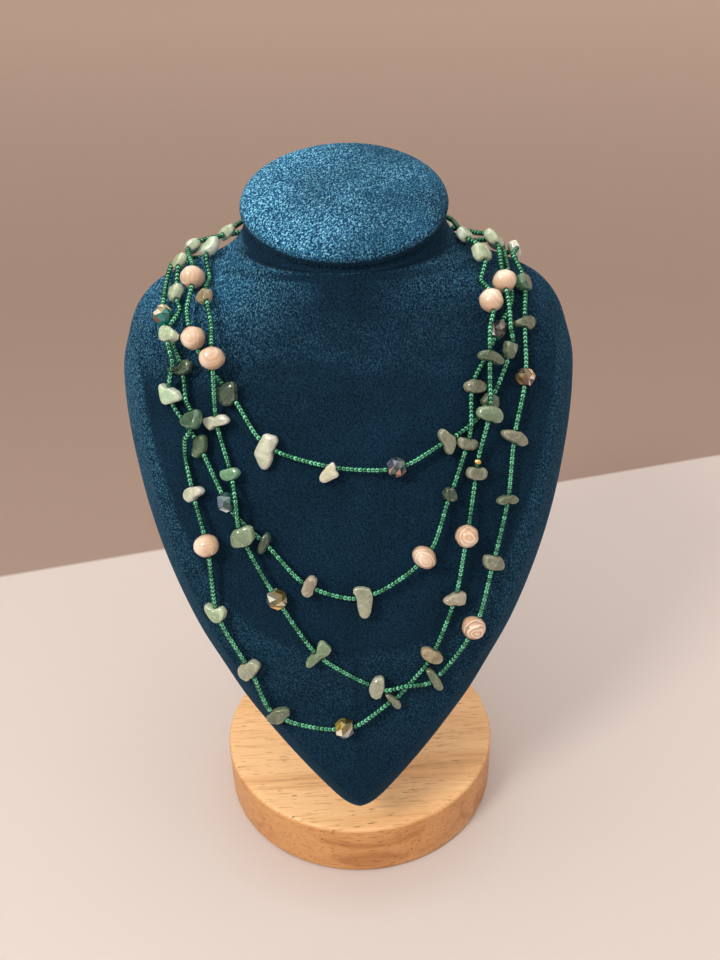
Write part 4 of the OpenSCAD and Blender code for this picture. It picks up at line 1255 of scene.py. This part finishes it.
def chipMesh(letter, i, vertices, faces, colours):
    across, along, thick = windings[letter][i][4:7]
    p, side, n, t = stationFrame(letter, i)
    number = 7 * letters.index(letter) + i
    draw = random.Random(number)
    radii = chipRadii(chipCorners(letter, i, draw), along)
    quarter = chip["spokes"] // 4
    planes = chipPlanes(draw)
    offset = Vector((number * 3.7, number * 1.3, 0))
    edge = math.acos(2 * chip["hole"] / (across + thick) * 2)
    first = len(vertices)
    main, vein = stoneLooks[windings[letter][i][9]]
    for ring in range(chip["rings"]):
        lean = -edge + 2 * edge * ring / (chip["rings"] - 1)
        for turn in around(chip["sides"]):
            q = ballPoint(lean, turn)
            flat = tumbled(q, planes)
            width = math.hypot(q.x, q.z)
            angle = math.degrees(math.atan2(q.z, q.x)) % 360 / (360 / chip["spokes"])
            low = radii[int(angle) % chip["spokes"]]
            high = radii[(int(angle) + 1) % chip["spokes"]]
            reach = (low + (high - low) * (angle % 1)) * width ** chip["fullness"]
            lump = 1 + 0.06 * noise.noise(q * 1.2 + offset)
            x = reach * q.x / max(width, 0.001)
            a = reach * q.z / max(width, 0.001)
            y = thick / 2 * lump * math.copysign(abs(flat.y) ** chip["fullness"], q.y)
            if ring in (0, chip["rings"] - 1):      # the hole's round ends
                x = chip["hole"] * math.cos(turn)
                y = chip["hole"] * math.sin(turn)
                a = math.copysign(0.97 * radii[quarter if lean > 0 else 3 * quarter], lean)
            vertices.append(p + x * side + y * n + a * t)
            # painted light: the thin edge is painted paler, as if light shone through it
            rim = chip["paintedEdgeGlow"] * between((width - 0.66) / 0.26, 0, 1)
            colours.append((
                [m + rim * (paler(v) - m) for m, v in zip(main, vein)],
                [v + rim * (paler(v) - v) for v in vein],
            ))
    faces += ringFaces(chip["rings"], chip["sides"], first, closed=True)


def makeStone():
    material, tree, shader = newMaterial("tumbledStone", {
        "IOR": 1.54,
        "Transmission Weight": 0.1,
        "Subsurface Weight": 1.0,
        "Subsurface Radius": (1.0, 1.0, 0.8),
        "Subsurface Scale": 0.0008,
        "Coat Weight": 1.0,
        "Coat Roughness": 0.07,
    })
    main = readAttribute(tree, "tint", "Color")
    vein = readAttribute(tree, "vein", "Color")
    space = patternSpace(tree)
    cloud = noiseField(tree, space, chip["clouds"], 1, 0.4, 0.8)
    crack = noiseField(tree, space, chip["cracks"], 1, 0.5, 1.5)
    veined = blendColours(tree, remap(tree, cloud, 0.40, 0.66), main, vein)
    flawed = blendColours(tree, remap(tree, crack, 0.62, 0.76, 0, 0.16), veined, chip["crackTone"])
    tree.links.new(flawed, shader.inputs["Base Color"])
    tree.links.new(remap(tree, crack, 0.3, 0.7, 0.14, 0.34), shader.inputs["Roughness"])
    return material


def makeChips(material):
    for letter in letters:
        vertices, faces, colours = [], [], []
        for winding, i, row in stations("chip", letter):
            chipMesh(winding, i, vertices, faces, colours)
        piece = newPiece("chips" + letter, vertices, faces, material)
        paint(piece, [main for main, vein in colours], "tint")
        paint(piece, [vein for main, vein in colours], "vein")
        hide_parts("chips_" + letter.lower())
        print("chips", letter, "faces:", len(faces))


makeChips(makeStone())

# Pearls: a little lumpy, with growth rings round a direction of their own
pearl = {
    "hole": 0.55,
    "sides": 64,
    "rings": 48,
    "lumps": 0.05,
    "ridges": 13,         # how close the raised rings lie
    "peach": (0.66, 0.46, 0.305),
    "cream": (0.87, 0.76, 0.62),
    "amber": (0.50, 0.27, 0.13),
    "pink": (0.84, 0.64, 0.52, 1),
    "edge": (0.50, 0.32, 0.25, 1),        # painted shade where the surface turns away
    "clouds": 260,        # along a metre
    "ring": (0.30, 0.165, 0.09, 1),
    "ringPale": (0.97, 0.90, 0.80, 1),
    "ringRate": 17,       # how close the coloured rings lie
    # one row each: middle of the growth rings (sideways, outwards, along), their relief,
    # the side that is cream, how much of it, and how brown its rings are
    "looks": [
        ((0.1, 0.8, 0.6), 0.020, (0.2, 0.6, -0.7), 0.5, 0.0),
        ((-0.3, 0.9, 0.1), 0.010, (0.6, 0.5, 0.0), 0.4, 0.05),
        ((0.2, 0.7, 0.6), 0.016, (-0.6, 0.5, 0.4), 0.3, 0.1),
        ((-0.1, 1.0, -0.2), 0.016, (-0.5, 0.4, -0.6), 0.2, 0.45),
        ((-0.4, 0.8, -0.4), 0.010, (0.8, 0.4, 0.2), 0.3, 0.05),
        ((0.0, 1.0, -0.1), 0.022, (0.6, 0.2, -0.7), -0.1, 1.0),
        ((-0.3, 0.7, 0.7), 0.010, (0.9, 0.4, -0.1), 0.8, 0.0),
        ((-0.3, 1.0, 0.1), 0.010, (0.2, 0.4, -0.8), 0.3, 0.5),
        ((0.2, 0.9, 0.3), 0.014, (-0.6, 0.5, 0.6), 0.5, 0.1),
    ],
}


def makeNacre():
    material, tree, shader = newMaterial("nacre", {
        "Roughness": 0.3,
        "IOR": 1.55,
        "Subsurface Weight": 0.15,
        "Subsurface Radius": (1.0, 0.7, 0.5),
        "Subsurface Scale": 0.001,
        "Coat Weight": 1.0,
        "Coat Roughness": 0.08,
    })
    cloud = noiseField(tree, patternSpace(tree), pearl["clouds"], 2, 0.5, 0.8)
    facing = addNode(tree, "ShaderNodeLayerWeight", {"Blend": 0.35}).outputs["Facing"]
    pinkness = remap(tree, cloud, 0.35, 0.7, 0, 0.35)
    pink = blendColours(tree, pinkness, readAttribute(tree, "tint", "Color"), pearl["pink"])
    phase = calculate(tree, "MULTIPLY", readAttribute(tree, "growth"), pearl["ringRate"])
    wave = calculate(tree, "SINE", phase)
    lines = readAttribute(tree, "lines")
    crest = calculate(tree, "MULTIPLY", remap(tree, wave, 0.2, 0.9), lines)
    groove = calculate(tree, "MULTIPLY", remap(tree, wave, -0.2, -0.9), lines)
    bright = blendColours(tree, crest, pink, pearl["ringPale"])
    ringed = blendColours(tree, groove, bright, pearl["ring"])
    # painted shade: darker where the surface turns away
    paintedEdgeShade = blendColours(tree, remap(tree, facing, 0.3, 1.0, 0, 0.4), ringed, pearl["edge"])
    tree.links.new(paintedEdgeShade, shader.inputs["Base Color"])
    addBump(tree, shader, cloud, 0.3, 0.3)
    return material


def makePearls(material):
    vertices, faces, colours, growth, lines = [], [], [], [], []
    places = stations("pearl")
    for number, (letter, i, row) in enumerate(places):
        p, side, n, t = stationFrame(letter, i)
        first = len(vertices)
        edge = math.acos(2 * pearl["hole"] / row[4])
        offset = Vector(((number + 1) * 5.1, 0, 0))
        eye, relief, creamSide, creamShare, brown = pearl["looks"][number]
        eye = Vector(eye).normalized()
        creamSide = Vector(creamSide).normalized()
        for ring in range(pearl["rings"]):
            lean = -edge + 2 * edge * ring / (pearl["rings"] - 1)
            for turn in around(pearl["sides"]):
                q = ballPoint(lean, turn)
                wobble = noise.noise(q * 1.6 + offset)
                away = q.angle(eye) + 0.3 * wobble
                ridge = math.sin(away * pearl["ridges"]) * between((1.3 - away) / 0.6, 0, 1)
                bulge = 1 - 0.5 * pearl["lumps"] + pearl["lumps"] * wobble + relief * ridge
                if ring in (0, pearl["rings"] - 1):     # the hole's round ends
                    bulge = 1
                across = row[4] / 2 * bulge * (q.x * side + q.y * n)
                vertices.append(p + across + row[5] / 2 * bulge * q.z * t)
                pale = between(q.dot(creamSide) * 1.6 + creamShare - 0.7, 0, 1)
                deep = 0.4 * brown
                colours.append([
                    (m + pale * (c - m)) * (1 - deep) + a * deep
                    for m, c, a in zip(pearl["peach"], pearl["cream"], pearl["amber"])
                ])
                growth.append(away)
                spread = between(0.3 + away, 0, 1) * between((1.7 - away) / 0.5, 0, 1)
                lines.append((0.10 + 0.55 * brown) * spread)
        faces += ringFaces(pearl["rings"], pearl["sides"], first, closed=True)
    piece = newPiece("pearls", vertices, faces, material)
    paint(piece, colours)
    for name, values in (("growth", growth), ("lines", lines)):
        piece.data.attributes.new(name, "FLOAT", "POINT").data.foreach_set("value", values)
    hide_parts(*["pearl_%d" % (k + 1) for k in range(len(places))])


makePearls(makeNacre())

# Cut crystals: eight-sided, dark, with painted glints: facets that face a listed way take a painted
# reflection colour, partly the coating's own colours.
# One entry each: the dark tints, then the painted glints by the way a facet faces (right and up, from the
# front)
crystal = {
    "sides": 8,
    "hole": 0.55,
    "rows": [(-0.50, 0.6, 0.0), (-0.14, 1.0, 0.5), (0.14, 1.0, 0.0), (0.50, 0.6, 0.5)],
    "paintedGlintWidth": 0.88,
    "film": (0.08, 0.20, 0.17, 1),        # a thin green film, in patches
    "patches": 700,       # along a metre
    "looks": [
        ([(0.006, 0.030, 0.032), (0.02, 0.05, 0.055)],
         [(-0.5, 0.8, (0.13, 0.14, 0.22)), (-0.9, 0.1, (0.08, 0.10, 0.16)),
          (0.1, -0.9, (0.50, 0.24, 0.20)), (0.7, 0.6, (0.14, 0.20, 0.18))]),
        ([(0.02, 0.05, 0.06), (0.10, 0.12, 0.16)], [(0.3, 0.9, (0.5, 0.55, 0.6))]),
        ([(0.008, 0.050, 0.050), (0.02, 0.10, 0.10)],
         [(-0.4, 0.8, (0.07, 0.16, 0.19)), (-0.9, 0.1, (0.12, 0.18, 0.24)),
          (-0.2, -0.9, (0.50, 0.58, 0.66))]),
        ([(0.020, 0.012, 0.012), (0.075, 0.045, 0.040)],
         [(-0.9, 0.2, (0.90, 0.88, 0.84)), (-0.3, -0.9, (0.04, 0.30, 0.18)), (0.4, 0.8, (0.20, 0.16, 0.17))]),
        ([(0.090, 0.070, 0.015), (0.20, 0.14, 0.03)],
         [(-0.6, 0.7, (0.66, 0.72, 0.60)), (-0.9, -0.2, (0.13, 0.13, 0.14)), (-0.1, -0.9, (0.75, 0.42, 0.12)),
          (0.7, -0.6, (0.74, 0.72, 0.48))]),
        ([(0.080, 0.040, 0.012), (0.17, 0.085, 0.02)],
         [(0.9, 0.3, (0.70, 0.48, 0.20)), (0.8, -0.5, (0.80, 0.68, 0.62)), (-0.8, 0.3, (0.13, 0.10, 0.04))]),
        ([(0.03, 0.03, 0.03), (0.16, 0.14, 0.12)], [(0.3, 0.9, (0.6, 0.5, 0.3))]),
        ([(0.003, 0.110, 0.090), (0.010, 0.20, 0.18)],
         [(-0.7, 0.7, (0.92, 0.86, 0.66)), (-0.9, -0.2, (0.13, 0.06, 0.03)), (0.2, 0.9, (0.30, 0.25, 0.09)),
          (0.0, -0.9, (0.02, 0.42, 0.40))]),
        ([(0.060, 0.040, 0.012), (0.15, 0.11, 0.02)],
         [(-0.7, -0.6, (0.78, 0.74, 0.60)), (0.7, -0.5, (0.50, 0.54, 0.52)), (-0.6, 0.7, (0.32, 0.25, 0.03)),
          (0.2, -0.9, (0.36, 0.40, 0.34))]),
    ],
}


def facetTint(normal, look, draw):
    tints, paintedGlints = look
    right, up = seenFromFront(normal)
    lean = math.hypot(right, up)
    # painted reflection: a facet that faces a glint's way takes its colour
    for x, y, colour in paintedGlints:
        if lean > 0.35 and right * x + up * y > crystal["paintedGlintWidth"] * lean * math.hypot(x, y):
            return colour
    return draw.choice(tints)


def makeCrystals():
    material, tree, shader = newMaterial("cutCrystal", {
        "Roughness": 0.06,
        "IOR": 1.6,
        "Metallic": 0.2,
        "Coat Weight": 1.0,
        "Coat Roughness": 0.02,
    })
    tint = readAttribute(tree, "tint", "Color")
    patch = noiseField(tree, patternSpace(tree), crystal["patches"], 1)
    filmed = blendColours(tree, remap(tree, patch, 0.5, 0.7, 0, 0.25), tint, crystal["film"])
    tree.links.new(filmed, shader.inputs["Base Color"])
    vertices, faces, tints = [], [], []
    sides = crystal["sides"]
    draw = random.Random(4)
    rows = crystal["rows"]
    rows = [(rows[0][0], 0, 0.0)] + rows + [(rows[-1][0], 0, 0.5)]      # 0 is the hole's size
    places = stations("crystal")
    for look, (letter, i, row) in zip(crystal["looks"], places):
        p, side, n, t = stationFrame(letter, i)
        first = len(vertices)
        for a, share, twist in rows:
            r = share * row[4] / 2 if share else crystal["hole"]
            for turn in around(sides, twist):
                vertices.append(p + r * (math.cos(turn) * side + math.sin(turn) * n) + row[5] * a * t)
        for quad in ringFaces(len(rows), sides, first, closed=True):
            for face in ((quad[0], quad[1], quad[2]), (quad[0], quad[2], quad[3])):
                a, b, c = [vertices[v] for v in face]
                faces.append(face)
                normal = (c - a).cross(b - a).normalized()
                tints.append(facetTint(normal, look, draw))
    piece = newPiece("crystals", vertices, faces, material, smooth=False)
    layer = piece.data.color_attributes.new("tint", "FLOAT_COLOR", "CORNER")
    for face in piece.data.polygons:
        for corner in face.loop_indices:
            layer.data[corner].color = (*tints[face.index], 1)
    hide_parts(*["crystal_%d" % (k + 1) for k in range(len(places))])


makeCrystals()

# The small gold bead
crimp = {
    "gold": (0.83, 0.58, 0.22, 1),
    "wear": 1500,         # worn places along a metre
}


def makeGold():
    material, tree, shader = newMaterial("gold", {
        "Base Color": crimp["gold"],
        "Metallic": 1.0,
    })
    wear = noiseField(tree, patternSpace(tree), crimp["wear"], 1)
    tree.links.new(remap(tree, wear, 0.3, 0.7, 0.15, 0.35), shader.inputs["Roughness"])
    return material


refinish("crimp_bead", makeGold())
print("large beads made")

# Floor and backdrop: pale near the stand, taupe beyond a straight edge behind it, and painted light making
# the backdrop lighter further up
studio = {
    "radius": 2600.0,
    "bend": 2000.0,
    "height": 2400.0,
    "sides": 96,
    "floor": (0.62, 0.575, 0.56, 1),
    "backdrop": (0.325, 0.240, 0.200, 1),
    "paintedLitHigher": (0.46, 0.345, 0.285, 1),    # painted light: the backdrop's lighter tone further up
    "edge": (0.0, 195.6, -16.1),      # a place on the edge and its turn in degrees
}


def makeStudio():
    material, tree, shader = newMaterial("studioFloor", {"Roughness": 0.55, "Specular IOR Level": 0.3})
    place = addNode(tree, "ShaderNodeTexCoord", {})
    x, y, slant = studio["edge"]
    shifted = addNode(tree, "ShaderNodeMapping", {
        "Vector": place.outputs["Object"],
        "Location": (-x * mm, -y * mm, 0),
    })
    turned = addNode(tree, "ShaderNodeMapping", {
        "Vector": shifted.outputs["Vector"],
        "Rotation": (0, 0, math.radians(slant)),
    })
    parts = addNode(tree, "ShaderNodeSeparateXYZ", {0: turned.outputs["Vector"]})
    beyond = remap(tree, parts.outputs["Y"], -0.0015, 0.0015)
    away = addNode(tree, "ShaderNodeSeparateXYZ", {0: place.outputs["Object"]})
    # painted light: lighter further up the backdrop
    upwards = remap(tree, away.outputs["Z"], 0.01, 0.35)
    backdrop = blendColours(tree, upwards, studio["backdrop"], studio["paintedLitHigher"])
    colour = blendColours(tree, beyond, studio["floor"], backdrop)
    tree.links.new(colour, shader.inputs["Base Color"])
    r = studio["radius"]
    b = studio["bend"]
    bends = [math.pi / 2 * k / 32 for k in range(33)]
    profile = [(0.001, 0)]
    profile += [(r - b + b * math.sin(turn), b - b * math.cos(turn)) for turn in bends]
    profile.append((r, studio["height"]))
    sides = studio["sides"]
    vertices = [
        Vector((reach * math.cos(turn), reach * math.sin(turn), z)) * mm
        for reach, z in profile for turn in around(sides)
    ]
    mesh = bpy.data.meshes.new("studio")
    mesh.from_pydata(vertices, [], ringFaces(len(profile), sides))
    mesh.shade_smooth()
    mesh.flip_normals()
    mesh.materials.append(material)
    addObject("studio", mesh)


makeStudio()

# Light: a wide soft sun from behind on the left, a pale sky, and two small lamps in front that make
# the beads sparkle. Places in metres.
lights = {
    "sun": {"from": (-0.62, 0.42, 0.85), "strength": 1.0, "angle": 120.0, "colour": (1.0, 0.95, 0.88)},
    "leftLamp": {"place": (-0.5, -0.55, 0.75), "size": 0.2, "power": 4.6, "colour": (1.0, 0.93, 0.84)},
    "rightLamp": {"place": (0.65, -0.35, 0.6), "size": 0.1, "power": 0.2, "colour": (1.0, 0.93, 0.84)},
    "sky": {"colour": (1.0, 0.92, 0.86, 1), "strength": 1.2},
}


def aimed(name, data, place, target):
    light = addObject(name, data)
    light.location = place
    light.rotation_euler = (Vector(place) - Vector(target)).to_track_quat("Z", "Y").to_euler()


def makeLights():
    sun = bpy.data.lights.new("sun", "SUN")
    sun.energy = lights["sun"]["strength"]
    sun.angle = math.radians(lights["sun"]["angle"])
    sun.color = lights["sun"]["colour"]
    aimed("sun", sun, lights["sun"]["from"], (0, 0, 0))
    for name in ("leftLamp", "rightLamp"):
        area = bpy.data.lights.new(name, "AREA")
        area.energy = lights[name]["power"]
        area.size = lights[name]["size"]
        area.color = lights[name]["colour"]
        aimed(name, area, lights[name]["place"], (0, 0, 0.13))
    world = bpy.data.worlds.new("sky")
    bpy.context.scene.world = world
    world.use_nodes = True
    background = world.node_tree.nodes["Background"]
    background.inputs["Color"].default_value = lights["sky"]["colour"]
    background.inputs["Strength"].default_value = lights["sky"]["strength"]


makeLights()
bpy.context.scene.view_settings.view_transform = "Standard"
bpy.context.scene.view_settings.look = "None"

print("scene ready")
